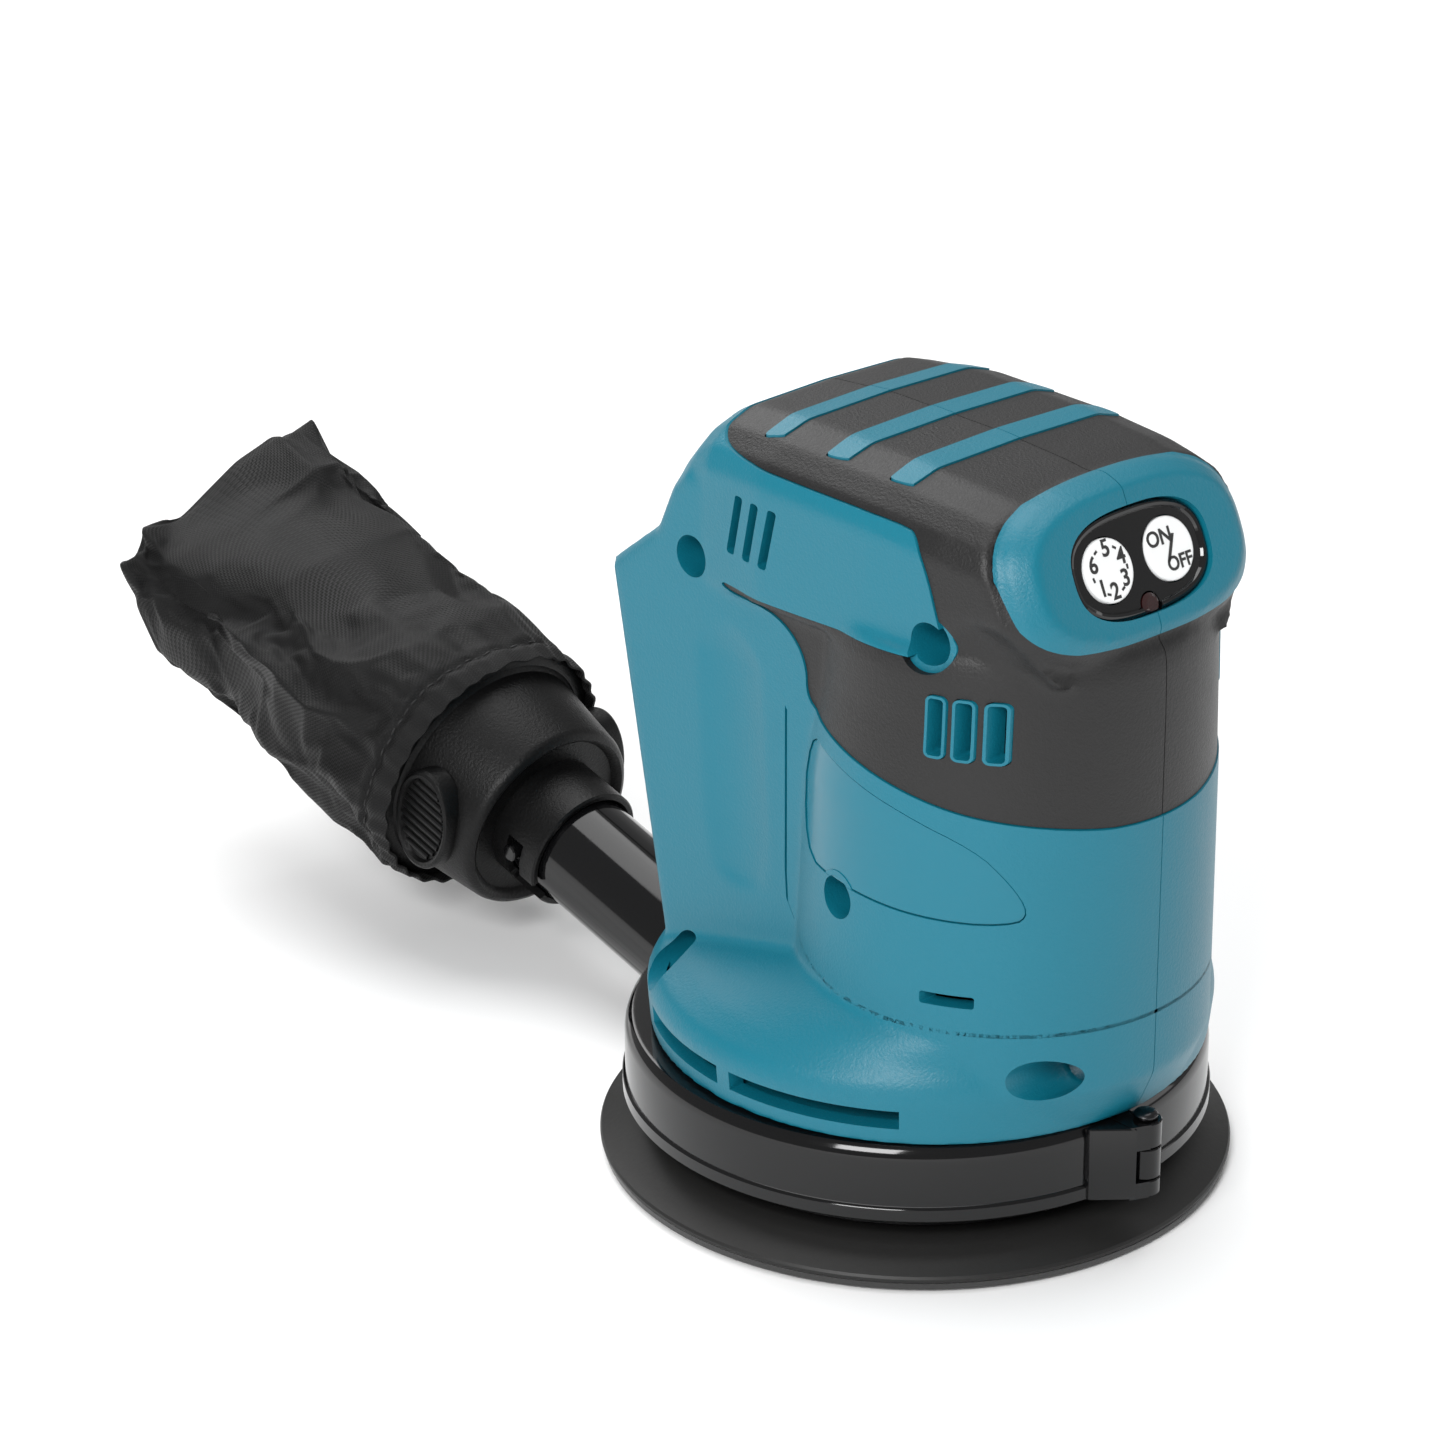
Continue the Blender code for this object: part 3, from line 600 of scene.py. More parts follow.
def new_group(name: str, kind: str, inputs: dict[str, object],
              outputs: dict[str, str]) -> tuple[Tree, bpy.types.Node, bpy.types.Node]:
    """Start a node group.

    Args:
        name: Name of the group.
        kind: Type name of its tree.
        inputs: Each input's usual number, or its kind of socket if it has none.
        outputs: Each output's kind of socket.

    Returns:
        The tree, its input node and its output node.
    """
    group = bpy.data.node_groups.new(name, kind)
    for key, value in inputs.items():
        plain = isinstance(value, str)
        word = value if plain else "Int" if isinstance(value, int) else "Float"
        made = group.interface.new_socket(key, in_out="INPUT", socket_type="NodeSocket" + word)
        if not plain:
            made.default_value = value
    for key, word in outputs.items():
        group.interface.new_socket(key, in_out="OUTPUT", socket_type="NodeSocket" + word)
    tree = Tree(group)
    return tree, tree.add("NodeGroupInput"), tree.add("NodeGroupOutput")


def grown(item: Thing, group: bpy.types.NodeTree, values: dict[str, object]) -> Thing:
    """Run a geometry group on an object and keep the mesh that it makes.

    Args:
        item: The object.
        group: The geometry group.
        values: Its inputs that differ from their usual values, by name.

    Returns:
        The same object.
    """
    modifier = item.modifiers.new(group.name, "NODES")
    modifier.node_group = group
    for socket in group.interface.items_tree:
        if socket.in_out == "INPUT" and socket.name in values:
            modifier[socket.identifier] = values[socket.name]
    return apply_modifiers(item)


def moulding_group() -> bpy.types.NodeTree:
    """Make the mould texture: fine grain height, slow mottling and scuffs.

    Returns:
        The node group.
    """
    tree, start, end = new_group(
        "moulding", "ShaderNodeTree",
        {"Place": "Vector", "Grain": 1500.0, "Mottle": 40.0, "Scuff": 0.4},
        {"Height": "Float", "Mottling": "Float", "Scuffs": "Float"})
    place = start.outputs["Place"]
    fine = tree.add("ShaderNodeTexNoise", {
        "Detail": 3.0, "Roughness": 0.6, "Vector": place, "Scale": start.outputs["Grain"]})
    slow = tree.add("ShaderNodeTexNoise", {
        "Detail": 2.0, "Vector": place, "Scale": start.outputs["Mottle"]})
    stretch = tree.add("ShaderNodeMapping", {"Scale": (1.0, 6.0, 1.5), "Vector": place})
    marks = tree.add("ShaderNodeTexNoise", {
        "Scale": 90.0, "Detail": 4.0, "Roughness": 0.7, "Vector": stretch.outputs["Vector"]})
    ramp = tree.add("ShaderNodeMapRange", {
        "From Min": 0.58, "From Max": 0.75, "Value": marks.outputs["Fac"]})
    scuffs = tree.maths("MULTIPLY", ramp.outputs["Result"], start.outputs["Scuff"])
    tree.feed(end, {"Height": fine.outputs["Fac"], "Mottling": slow.outputs["Fac"],
                    "Scuffs": scuffs})
    return tree.tree


def weave_group() -> bpy.types.NodeTree:
    """Make the plain weave, warp and weft crossing, from a place in thread counts.

    Returns:
        The node group.
    """
    tree, start, end = new_group(
        "weave", "ShaderNodeTree", {"Place": "Vector", "Warp": 1.0, "Weft": 1.0},
        {"Height": "Float", "Gap": "Float"})
    parts = tree.add("ShaderNodeSeparateXYZ", {"Vector": start.outputs["Place"]})
    across, along = (
        tree.maths("SINE", tree.maths("MULTIPLY", parts.outputs[axis], start.outputs[count]))
        for axis, count in (("X", "Warp"), ("Y", "Weft")))
    warp, weft = (tree.maths("ABSOLUTE", wave) for wave in (across, along))
    over = tree.maths("GREATER_THAN", tree.maths("MULTIPLY", across, along), 0.0)
    under = tree.maths("SUBTRACT", 1.0, over)
    high = tree.maths("ADD", tree.maths("MULTIPLY", warp, over),
                      tree.maths("MULTIPLY", weft, under))
    tree.feed(end, {"Height": high, "Gap": tree.maths("MULTIPLY", warp, weft)})
    return tree.tree


def new_material(name: str, values: dict) -> tuple[bpy.types.Material, Tree, bpy.types.Node]:
    """Start a material.

    Args:
        name: Name of the material.
        values: What its shader's inputs take.

    Returns:
        The material, its tree and its shader.
    """
    made = bpy.data.materials.new(name)
    made.use_nodes = True
    tree = Tree(made.node_tree)
    return made, tree, tree.feed(made.node_tree.nodes["Principled BSDF"], values)


@dataclass(frozen=True)
class Finish:
    """A moulded or metal finish, in linear colour."""

    name: str
    colour: Point
    roughness: float
    metallic: float = 0.0
    grain: float = 1500.0
    bump: float = 0.1
    mottling: float = 0.06
    scuff: float = 0.3
    coat: float = 0.0
    sheen: float = 0.0
    specular: float = 0.5

    def make(self, moulding: bpy.types.NodeTree) -> bpy.types.Material:
        """Build the material.

        Args:
            moulding: The shared mould texture.

        Returns:
            The material.
        """
        made, tree, shader = new_material(self.name, {
            "Metallic": self.metallic, "Coat Weight": self.coat, "Coat Roughness": 0.08,
            "Sheen Weight": self.sheen, "Specular IOR Level": self.specular})
        place = tree.add("ShaderNodeTexCoord").outputs["Object"]
        texture = tree.add("ShaderNodeGroup", node_tree=moulding)
        tree.feed(texture, {"Grain": self.grain, "Scuff": self.scuff, "Place": place})
        dark, light = (tuple(c * k for c in self.colour) + (1.0,)
                       for k in (1 - self.mottling, 1 + self.mottling))
        tone = tree.add("ShaderNodeMix", {
            "A": dark, "B": light, "Factor": texture.outputs["Mottling"]}, data_type="RGBA")
        rough = tree.maths("MULTIPLY", texture.outputs["Scuffs"], SCUFF_ROUGHNESS)
        spread = tree.maths("MULTIPLY", texture.outputs["Height"],
                            min(self.bump, MOST_SPREAD) * 0.5)
        total = tree.maths("ADD", tree.maths("ADD", rough, spread),
                           self.roughness - ROUGHNESS_DROP)
        bump = tree.add("ShaderNodeBump", {"Strength": self.bump, "Distance": GRAIN_DEPTH,
                                           "Height": texture.outputs["Height"]})
        tree.feed(shader, {"Base Color": tone.outputs["Result"], "Roughness": total,
                           "Normal": bump.outputs["Normal"]})
        return made


@dataclass(frozen=True)
class Cloth:
    """Black nylon of the dust bag, woven along its own unrolled place, with painted shade in the
    weave's gaps.
    """

    name: str = "woven_nylon"
    colour: Point = (0.004, 0.004, 0.0041)
    threads: float = 5600.0
    # Colour factors of the weave's tone: painted shade in the gaps between threads, and lighter
    # thread crests where the dust noise is high.
    gap_shade: float = 0.55
    crest_light_and_dust: float = 1.9
    bump: float = 0.45

    def make(self, weave: bpy.types.NodeTree) -> bpy.types.Material:
        """Build the material.

        Args:
            weave: The shared weave pattern.

        Returns:
            The material.
        """
        made, tree, shader = new_material(self.name, {
            "Sheen Weight": 0.02, "Sheen Roughness": 0.4, "Specular IOR Level": 0.2})
        unrolled = tree.add("ShaderNodeUVMap", uv_map="unrolled").outputs["UV"]
        pattern = tree.add("ShaderNodeGroup", node_tree=weave)
        tree.feed(pattern, {"Warp": self.threads, "Weft": self.threads, "Place": unrolled})
        place = tree.add("ShaderNodeTexCoord").outputs["Object"]
        dust = tree.add("ShaderNodeTexNoise", {"Scale": 70.0, "Detail": 4.0, "Vector": place})
        # Painted shade: the tone follows the weave's height times the dust noise, so the gaps
        # between threads are painted darker and the crests lighter.
        share = tree.maths("MULTIPLY", dust.outputs["Fac"], pattern.outputs["Height"])
        dark, light = (tuple(c * k for c in self.colour) + (1.0,)
                       for k in (self.gap_shade, self.crest_light_and_dust))
        tone = tree.add("ShaderNodeMix", {"A": dark, "B": light, "Factor": share},
                        data_type="RGBA")
        rough = tree.maths("MULTIPLY_ADD", dust.outputs["Fac"], 0.2, 0.45)
        bump = tree.add("ShaderNodeBump", {"Strength": self.bump, "Distance": GRAIN_DEPTH,
                                           "Height": pattern.outputs["Height"]})
        tree.feed(shader, {"Base Color": tone.outputs["Result"], "Roughness": rough,
                           "Normal": bump.outputs["Normal"]})
        return made


class Finishes:
    """Every finish of the sander, made once."""

    TEAL = Finish("teal_shell", (0.002, 0.142, 0.205), 0.38, grain=1700.0, bump=0.5,
                  mottling=0.03, scuff=0.25, specular=0.4)
    LABEL = Finish("label_recess", (0.002, 0.142, 0.205), 0.22, grain=1200.0, bump=0.01,
                   mottling=0.02, scuff=0.1, specular=0.4)
    GRIP = Finish("soft_grip", (0.009, 0.0088, 0.009), 0.42, grain=1800.0, bump=0.6,
                  mottling=0.08, scuff=0.3, specular=0.4)
    GLOSS = Finish("gloss_black", (0.003, 0.003, 0.0033), 0.13, grain=300.0, bump=0.01,
                   scuff=0.4, specular=0.4)
    PANEL = Finish("panel_black", (0.003, 0.003, 0.0033), 0.08, bump=0.0, scuff=0.1, coat=0.2)
    PIN = Finish("blackened_pin", (0.05, 0.05, 0.052), 0.3, 1.0, bump=0.03)
    MATTE = Finish("matte_black", (0.0035, 0.0035, 0.0036), 0.36, grain=1700.0, bump=0.6,
                   specular=0.2)
    PAD = Finish("pad_rubber", (0.011, 0.0108, 0.0105), 0.50, grain=900.0, bump=0.15,
                 specular=0.4)
    KEY = Finish("white_key", (0.80, 0.81, 0.81), 0.33, bump=0.02, mottling=0.01, scuff=0.1)
    INK = Finish("ink", (0.012, 0.012, 0.012), 0.4, bump=0.0)
    LENS = Finish("lens", (0.02, 0.004, 0.004), 0.12, bump=0.0, coat=0.6)
    BOARD = Finish("board", (0.02, 0.16, 0.06), 0.4, bump=0.05)
    STEEL = Finish("steel", (0.56, 0.56, 0.57), 0.26, 1.0, bump=0.03, mottling=0.08)
    ALLOY = Finish("alloy", (0.60, 0.61, 0.62), 0.38, 1.0, grain=700.0, bump=0.08)
    COPPER = Finish("copper", (0.72, 0.33, 0.12), 0.32, 1.0, bump=0.1)
    BRASS = Finish("brass", (0.75, 0.55, 0.25), 0.3, 1.0, bump=0.03)
    HOOK = Finish("hook", (0.03, 0.03, 0.03), 0.85, grain=3000.0, bump=0.5, sheen=0.4)
    NYLON = Cloth()

    def __init__(self) -> None:
        """Build the shared groups and every material."""
        moulding = moulding_group()
        listed = [f for f in vars(Finishes).values() if isinstance(f, Finish)]
        self.made = {f.name: f.make(moulding) for f in listed}
        self.made[self.NYLON.name] = self.NYLON.make(weave_group())

    def hand_in(self, item: Thing, body: str, finish: Finish | Cloth, slot: str,
                node: str | None = None, angle: float = 35.0) -> Thing:
        """Lower a finished piece to the origin, shade it, and put it in the frame.

        Args:
            item: The piece, in the layout frame.
            body: The CAD body it rides on.
            finish: Its finish.
            slot: The record's slot; not used.
            node: The CAD node it stands for, if any.
            angle: Edges sharper than this many degrees stay crisp.

        Returns:
            The same piece.
        """
        item.data.transform(Matrix.Translation((0, 0, -DATUM_DROP * MM)))
        item.data.shade_smooth()
        item.data.set_sharp_from_angle(angle=math.radians(angle))
        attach(item, body)
        if node:
            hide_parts(node)
        item.data.materials.clear()
        item.data.materials.append(self.made[finish.name])
        LOG.info("%s: %d faces on %s", item.name, len(item.data.polygons), body)
        return item


# ------------------------------------------------------------ body and overmould

@dataclass(frozen=True)
class Seat:
    """One housing screw: its axis, its boss's reach and the depth of its head's seat."""

    y: float
    z: float
    reach: float
    depth: float


SEATS = (Seat(28.5, 125.0, 31.0, 15.0), Seat(-35.0, 127.2, 28.0, 14.0),
         Seat(-17.4, 73.3, 37.0, 20.0), Seat(29.0, 43.4, 31.0, 15.0),
         Seat(-54.6, 44.2, 19.0, 9.0))


@dataclass
class Housing:
    """Clamshell body: round front, base flange, head, bezel and battery column."""

    finishes: Finishes
    voxel: float = 0.85
    relax: int = 7
    grip_sink: float = 0.3
    head_half_width: float = 34.5
    rail_recess: float = 8.0
    foot: float = 31.0
    hollow_foot: float = 29.0
    column_half: float = 32.0
    scoop_r: float = 30.0
    scoop_depth: float = 1.3
    boss_r: float = 5.2
    well_r: float = 4.1
    pilot_r: float = 1.9
    half_span: float = 60.0

    def circle_stack(self, name: str, levels: list[Point], inset: float,
                     segments: int) -> Thing:
        """Loft a stack of circles.

        Args:
            name: Name of the body.
            levels: Each circle's height, middle along Y and radius.
            inset: How much smaller each circle is made.
            segments: Points round each circle.

        Returns:
            The body.
        """
        return loft(name, [[(x, y, z) for x, y in circle(0.0, centre, r - inset, segments)]
                           for z, centre, r in levels])

    def barrel(self, inset: float, segments: int) -> Thing:
        """Make the round front, from the base up into the head.

        Args:
            inset: How far inside the outer form it lies.
            segments: Points round it.

        Returns:
            The body.
        """
        low = self.hollow_foot if inset else self.foot
        fronts = [(low, -57.0, 37.0), (34.5, -59.0, 38.0), (41.0, -61.8, 39.3),
                  (53.0, -61.8, 39.3), (92.0, -61.8, 38.4), (112.0, -61.8, 36.9),
                  (121.5, -61.6, 36.6), (125.3 - inset, -61.0, 36.0)]
        levels = [(z, front + r, r) for z, front, r in fronts]
        return self.circle_stack("barrel", levels, inset, segments)

    def flange(self, inset: float, segments: int) -> Thing:
        """Make the base flange, sweeping up into the barrel.

        Args:
            inset: How far inside the outer form it lies.
            segments: Points round it.

        Returns:
            The body.
        """
        low = self.hollow_foot if inset else self.foot
        levels = [(low, -3.4, 53.6), (40.0, -3.6, 54.4), (43.0, -4.6, 53.2),
                  (46.5 - inset / 4, -8.4, 49.0), (50.5 - inset / 2, -15.5, 43.5),
                  (54.4 - 0.8 * inset, -21.6, 37.8)]
        return self.circle_stack("flange", levels, inset, segments)

    def head_ring(self, y: float, half: float, top: float, waist: float,
                  inset: float) -> Ring:
        """Lay out a crowned section of the head, tucked in to the waist at its foot.

        Args:
            y: Where it stands.
            half: Half its width.
            top: Its highest point.
            waist: Share of the half width that its foot keeps.
            inset: How far inside the outer form it lies.

        Returns:
            The ring.
        """
        w = half - inset
        high = top - inset
        shoulder = [(0.0, 0.0), (0.60, -0.5), (0.80, -2.6), (0.94, -6.0), (1.0, -10.0)]
        side = [(w * s, high + drop) for s, drop in shoulder]
        side += [(w, 134.0), (w * (0.5 + waist / 2), 127.5), (w * waist, 121.5 + inset)]
        mirrored = [(-x, z) for x, z in reversed(side[1:])]
        return [(x, y, z) for x, z in side + mirrored]

    def head(self, inset: float) -> Thing:
        """Make the head, cut off square behind the control panel.

        Args:
            inset: How far inside the outer form it lies.

        Returns:
            The body.
        """
        stations = [(38.5 - inset, 29.0, 138.0, 1.0), (34.5 - inset / 2, 30.0, 146.0, 1.0),
                    (30.0, 31.0, 150.6, 1.0), (24.6, 32.2, 153.6, 1.0),
                    (8.0, self.head_half_width, 155.0, 1.0),
                    (-20.0, self.head_half_width, 154.8, 1.0), (-36.0, 33.6, 153.8, 0.97),
                    (-43.0, 32.6, 152.9, 0.86), (-52.0, 31.2, 152.2, 0.74),
                    (-66.0, 29.6, 151.0, 0.66)]
        block = loft("head", [self.head_ring(*station, inset) for station in stations])
        return cut(block, box("trim", (-90, -90, -5.5 - inset), (90, 90, 90), panel_place()))

    def bezel(self, inset: float, segments: int) -> Thing:
        """Make the raised oblong ring round the control panel.

        Args:
            inset: How far inside the outer form it lies.
            segments: Points round it.

        Returns:
            The body.
        """
        rings = [oblong(30.0 - inset, 17.2 - inset, -16.6 + inset, -20.0, segments),
                 oblong(30.0 - inset, 17.2 - inset, -16.6 + inset, -5.0 - inset, segments),
                 oblong(29.0 - inset, 16.4 - inset, -15.8 + inset, -3.0 - inset, segments),
                 oblong(25.4 - inset, 13.3 - inset, -12.7 + inset, -inset, segments)]
        return loft("bezel", rings, panel_place())

    def column(self, inset: float) -> Thing:
        """Make the rear column up to its battery face, narrowed by a chamfer.

        Args:
            inset: How far inside the outer form it lies.

        Returns:
            The body.
        """
        (foot_y, foot_z), (top_y, top_z) = REAR_FOOT, REAR_TOP
        slope = (top_y - foot_y) / (top_z - foot_z)
        back = inset + (self.rail_recess if inset else 0.0)
        low = 38.0 + inset
        outline = [(-8.0, low), (foot_y - slope * (foot_z - low) - back, low),
                   (top_y - back, top_z - inset), (39.8 - back, 127.6 - inset),
                   (35.5 - back, 137.0 - inset), (31.0 - back, 142.0 - inset),
                   (-8.0, 142.0 - inset)]
        rings = []
        for share, narrow in ((-1.0, 2.0), (-0.93, 0.0), (0.93, 0.0), (1.0, 2.0)):
            half = self.column_half - inset
            shrunk = inset_outline(outline, narrow) if narrow else outline
            rings.append([(half * share, y, z) for y, z in shrunk])
        return loft("column", rings)

    def scoops(self) -> Thing:
        """Make the shallow hollows down both flanks of the column, for the fingers.

        Returns:
            The hollows, as one tool.
        """
        tools = []
        for side in Side:
            middle = side.value * (self.column_half + self.scoop_r - self.scoop_depth)
            levels = ((56.0, 27.0), (64.0, 29.6), (74.0, self.scoop_r),
                      (108.0, self.scoop_r), (118.0, 28.0))
            rings = [[(x, y, z) for x, y in circle(middle, 15.5 + (z - 60.0) * 0.06, r, 96)]
                     for z, r in levels]
            tools.append(loft("scoop", rings))
        return bundle("scoops", *tools)

    def outside(self) -> Thing:
        """Make the whole outer form, with every inner corner filled softly.

        Returns:
            The form.
        """
        whole = self.barrel(0.0, 120)
        join(whole, self.flange(0.0, 120), self.head(0.0), self.bezel(0.0, 96),
             self.column(0.0))
        cut(whole, self.scoops())
        return soften(whole, self.voxel, self.relax)

    def inside(self) -> Thing:
        """Make the hollow of the body.

        Returns:
            The hollow, as a tool.
        """
        whole = self.barrel(WALL, 36)
        return join(whole, self.flange(WALL, 36), self.head(WALL), self.bezel(WALL, 28),
                    self.column(WALL))

    def grip_region(self, shrink: float) -> Thing:
        """Make a block across the width where the soft overmould lies.

        Args:
            shrink: How far its edge is moved inwards.

        Returns:
            The block.
        """
        outline = [(19.0, 121.9), (19.4, 122.7), (18.0, 123.2), (8.0, 122.8), (-23.0, 124.2),
                   (-38.4, 124.6), (-37.4, 130.5), (-34.8, 139.5), (-31.4, 145.8),
                   (-28.0, 147.4), (5.0, 147.5), (20.0, 148.0), (24.5, 149.6), (27.4, 153.0),
                   (27.4, 170.0), (-35.2, 170.0), (-55.6, 125.3), (-75.0, 125.3),
                   (-75.0, 92.3), (-61.8, 92.3), (-56.7, 94.0), (-50.4, 95.3),
                   (-42.8, 96.6), (-34.0, 98.6), (-25.8, 100.4), (-15.0, 102.6),
                   (-4.5, 104.6), (-2.4, 107.3), (-2.3, 111.8), (-0.3, 115.8), (3.5, 118.9),
                   (9.0, 120.8)]
        shrunk = inset_outline(outline, shrink) if shrink else outline
        region = self.across("region", curved(shrunk, 2))
        for front, back in ((9.2, 14.2), (-7.6, -2.0), (-24.0, -18.2)):
            grow, f, b = shrink, front - shrink, back + shrink
            ends = [(-26.6 - grow, f + 1.0), (-25.9 - grow, f), (26.2 + grow, f),
                    (26.9 + grow, f + 0.8), (26.0 + grow, b - 0.9), (25.2 + grow, b),
                    (-26.4 - grow, b), (-27.2 - grow, b - 0.8)]
            stripe = prism_z("stripe", curved(ends, 2), 146.0, 175.0)
            cut(region, stripe)
        return region

    def across(self, name: str, outline: list[Flat]) -> Thing:
        """Extrude a (y, z) outline across the whole width."""
        return prism_x(name, outline, -self.half_span, self.half_span)

    def slot_outline(self, y: float, low: float, high: float, half: float,
                     lean: float, corner: float = 0.7) -> list[Flat]:
        """Long slot with rounded corners, its upper end leaning forward.

        Args:
            y: Middle of its lower end.
            low: Its lower end.
            high: Its upper end.
            half: Half its width.
            lean: How far forward the upper end lies.
            corner: Radius of its corners.

        Returns:
            The anticlockwise outline.
        """
        r = min(corner, half * 0.98)
        points = []
        for turn, (sy, sz) in enumerate(((1, 1), (-1, 1), (-1, -1), (1, -1))):
            middle = high - r if sz > 0 else low + r
            shift = lean if sz > 0 else 0.0
            for k in range(7):
                a = math.pi / 2 * (turn + k / 6)
                points.append((y - shift + sy * (half - r) + r * math.cos(a),
                               middle + r * math.sin(a)))
        return points

    def slots(self, grow: float) -> Thing:
        """Air slots of the neck, made larger by a margin.

        Args:
            grow: Margin added all round, in millimetres.

        Returns:
            The slots as one tool.
        """
        tools = []
        for y in (-38.0, -42.8, -47.8):
            outline = self.slot_outline(y, 107.2 - grow, 118.0 + grow, 1.35 + grow, 0.0,
                                        0.7 + grow)
            tools.append(self.across("neck_slot", outline))
        return bundle("neck_slots", *tools)

    def flank_slots(self) -> Thing:
        """Make the head's air slots and the tag slot.

        Returns:
            The slots, as one tool.
        """
        tools = []
        for y in (16.4, 11.6, 6.8):
            outline = self.slot_outline(y, 129.4, 141.4, 1.15, 2.6)
            tools.append(self.across("head_slot", outline))
        tag = self.slot_outline(-41.5, 58.6, 61.0, 4.5, 0.0, 0.5)
        tools.append(self.across("tag_slot", tag))
        return bundle("flank_slots", *tools)

    def exhausts(self) -> Thing:
        """Make the curved air outlets low round the base.

        Returns:
            The outlets, as one tool.
        """
        tools = []
        for side in Side:
            for start, end in ((149.0, 178.5), (182.0, 219.4)):
                loop: list[Flat] = []
                for radius, order in ((62, 1), (46, -1)):
                    for k in range(25)[::order]:
                        a = math.radians(start + (end - start) * k / 24)
                        loop.append((-side.value * radius * math.cos(a),
                                     radius * math.sin(a) - 3.4))
                tools.append(prism_z("exhaust", loop, 34.6, 38.4))
        return bundle("exhausts", *tools)

    def label(self, shrink: float) -> Thing:
        """Make a block across the width over the blank label field.

        Args:
            shrink: How far its edge is moved inwards.

        Returns:
            The block.
        """
        outline = [(-51.0, 75.4), (-36.0, 75.4), (-20.0, 76.4), (-3.2, 77.0), (-3.2, 100.8),
                   (-14.0, 99.4), (-25.0, 97.0), (-34.0, 94.8), (-45.4, 90.6),
                   (-50.6, 84.0), (-53.0, 78.0)]
        smooth = curved(outline, 2)
        return self.across("label", inset_outline(smooth, shrink) if shrink else smooth)

    def step_line(self) -> Thing:
        """Make the fine moulded line down the flank and round the front.

        Returns:
            The line, as a tool.
        """
        path = [(3.2, 103.0), (3.2, 70.0), (2.8, 64.0), (0.6, 60.4), (-3.4, 58.0),
                (-9.0, 56.4), (-17.0, 55.0), (-30.0, 54.0), (-75.0, 53.6)]
        width = 0.75
        back = [(y - width * 0.8, z - width) for y, z in path]
        return self.across("step_line", (path + back[::-1])[::-1])

    def cradle(self) -> Thing:
        """Make the ribs that hold the stator and the upper bearing, and the base floor.

        Returns:
            The ribs and the floor as one body.
        """
        ribs = [tube("rib", 29.6, 24.9, z, z + 2.4, 48) for z in (49.0, 58.6)]
        ribs.append(tube("plate", 29.4, 11.5, 71.4, 74.4, 48))
        ribs.append(cut(self.circle_stack("web", [(31.2, -3.4, 52.2), (33.8, -3.4, 52.2)],
                                          0.0, 64), disc("web_hole", 19.0, 20, 40)))
        return bundle("cradle", *ribs)

    def battery_seat(self) -> Thing:
        """Make the T-shaped battery channel and the terminal pocket.

        Returns:
            The hollow, as a tool.
        """
        mouth = box("mouth", (-23.5, 16, -8.0), (23.5, 100, 20), rear_place())
        join(mouth, box("undercut", (-27.0, 16, -8.0), (27.0, 100, -3.2), rear_place()))
        return join(mouth, box("pocket", (-15.3, 30, -20), (15.3, 61, -2), rear_place()))

    def panel_pocket(self) -> Thing:
        """Make the recess and opening that take the control panel.

        Returns:
            The hollow, as a tool.
        """
        pocket = loft("pocket", [oblong(17.3, 9.85, -9.85, z, 64) for z in (-3.4, 2.0)],
                      panel_place())
        opening = loft("opening", [oblong(14.6, 7.6, -7.6, z, 64) for z in (-14.0, -1.0)],
                       panel_place())
        return join(pocket, opening)

    def screw_seats(self, half: Thing, grip: Thing, side: Side, form: Thing) -> None:
        """Give a half the bosses, wells and pilot holes of the housing screws.

        Args:
            half: One half of the body.
            grip: Its overmould.
            side: Which half.
            form: The outer form, which the bosses stay inside.
        """
        far = self.half_span + 20.0
        for seat in SEATS:
            y, z = seat.y, seat.z
            low, high = sorted((side.value * SEAM, side.value * (seat.reach + 4.0)))
            boss = rod_x("boss", self.boss_r, y, z, low, high)
            join(half, keep(boss, layer(form, "limit", -0.05)))
            if side is Side.LEFT:
                well = rod_x("well", self.well_r, y, z, -far, -seat.depth)
                cut(half, join(well, rod_x("hole", self.pilot_r, y, z, -60, 0, 24)))
                cut(grip, rod_x("well", self.boss_r + 0.1, y, z, -far, -5))
            else:
                cut(half, rod_x("pilot", self.pilot_r, y, z, 0, 12, 24))

    def build(self) -> None:
        """Make both body halves, both overmoulds and the label fields."""
        form = self.outside()
        core = layer(form, "core", -SKIN - 0.25)
        pocket = cut(self.grip_region(0.0), core)
        shell = cut(duplicate(form, "shell"), pocket, self.inside())
        join(shell, self.cradle())
        cut(shell, self.battery_seat(), self.panel_pocket(), self.flank_slots(),
            self.exhausts())
        skin = cut(layer(form, "skin", -self.grip_sink), layer(form, "under", -SKIN))
        keep(skin, self.grip_region(0.22))
        cut(skin, self.flank_slots(), self.slots(0.65))
        rims = keep(self.slots(0.5), cut(layer(form, "lip", 0.1), layer(form, "deep", -2.4)))
        join(shell, rims)
        cut(shell, self.slots(0.0))
        cut(shell, cut(self.step_line(), layer(form, "fine", -0.75)))
        cut(shell, cut(self.label(0.0), layer(form, "floor", -0.7)))
        plate = keep(self.label(0.3), cut(layer(form, "face", -0.22),
                                          layer(form, "back", -0.65)))
        for side in Side:
            half = keep(duplicate(shell, "body_" + side.word), half_space(side))
            grip = keep(duplicate(skin, "overmould_" + side.word), half_space(side))
            self.screw_seats(half, grip, side, form)
            label = keep(duplicate(plate, "label_" + side.word), half_space(side))
            for piece, finish, slot, node in (
                    (half, Finishes.TEAL, "teal_shell", "housing_" + side.word),
                    (grip, Finishes.GRIP, "soft_grip", "grip_" + side.word),
                    (label, Finishes.LABEL, "teal_shell", None)):
                self.finishes.hand_in(piece, "housing", finish, slot, node, 32.0)
        discard(shell, skin, plate, form)


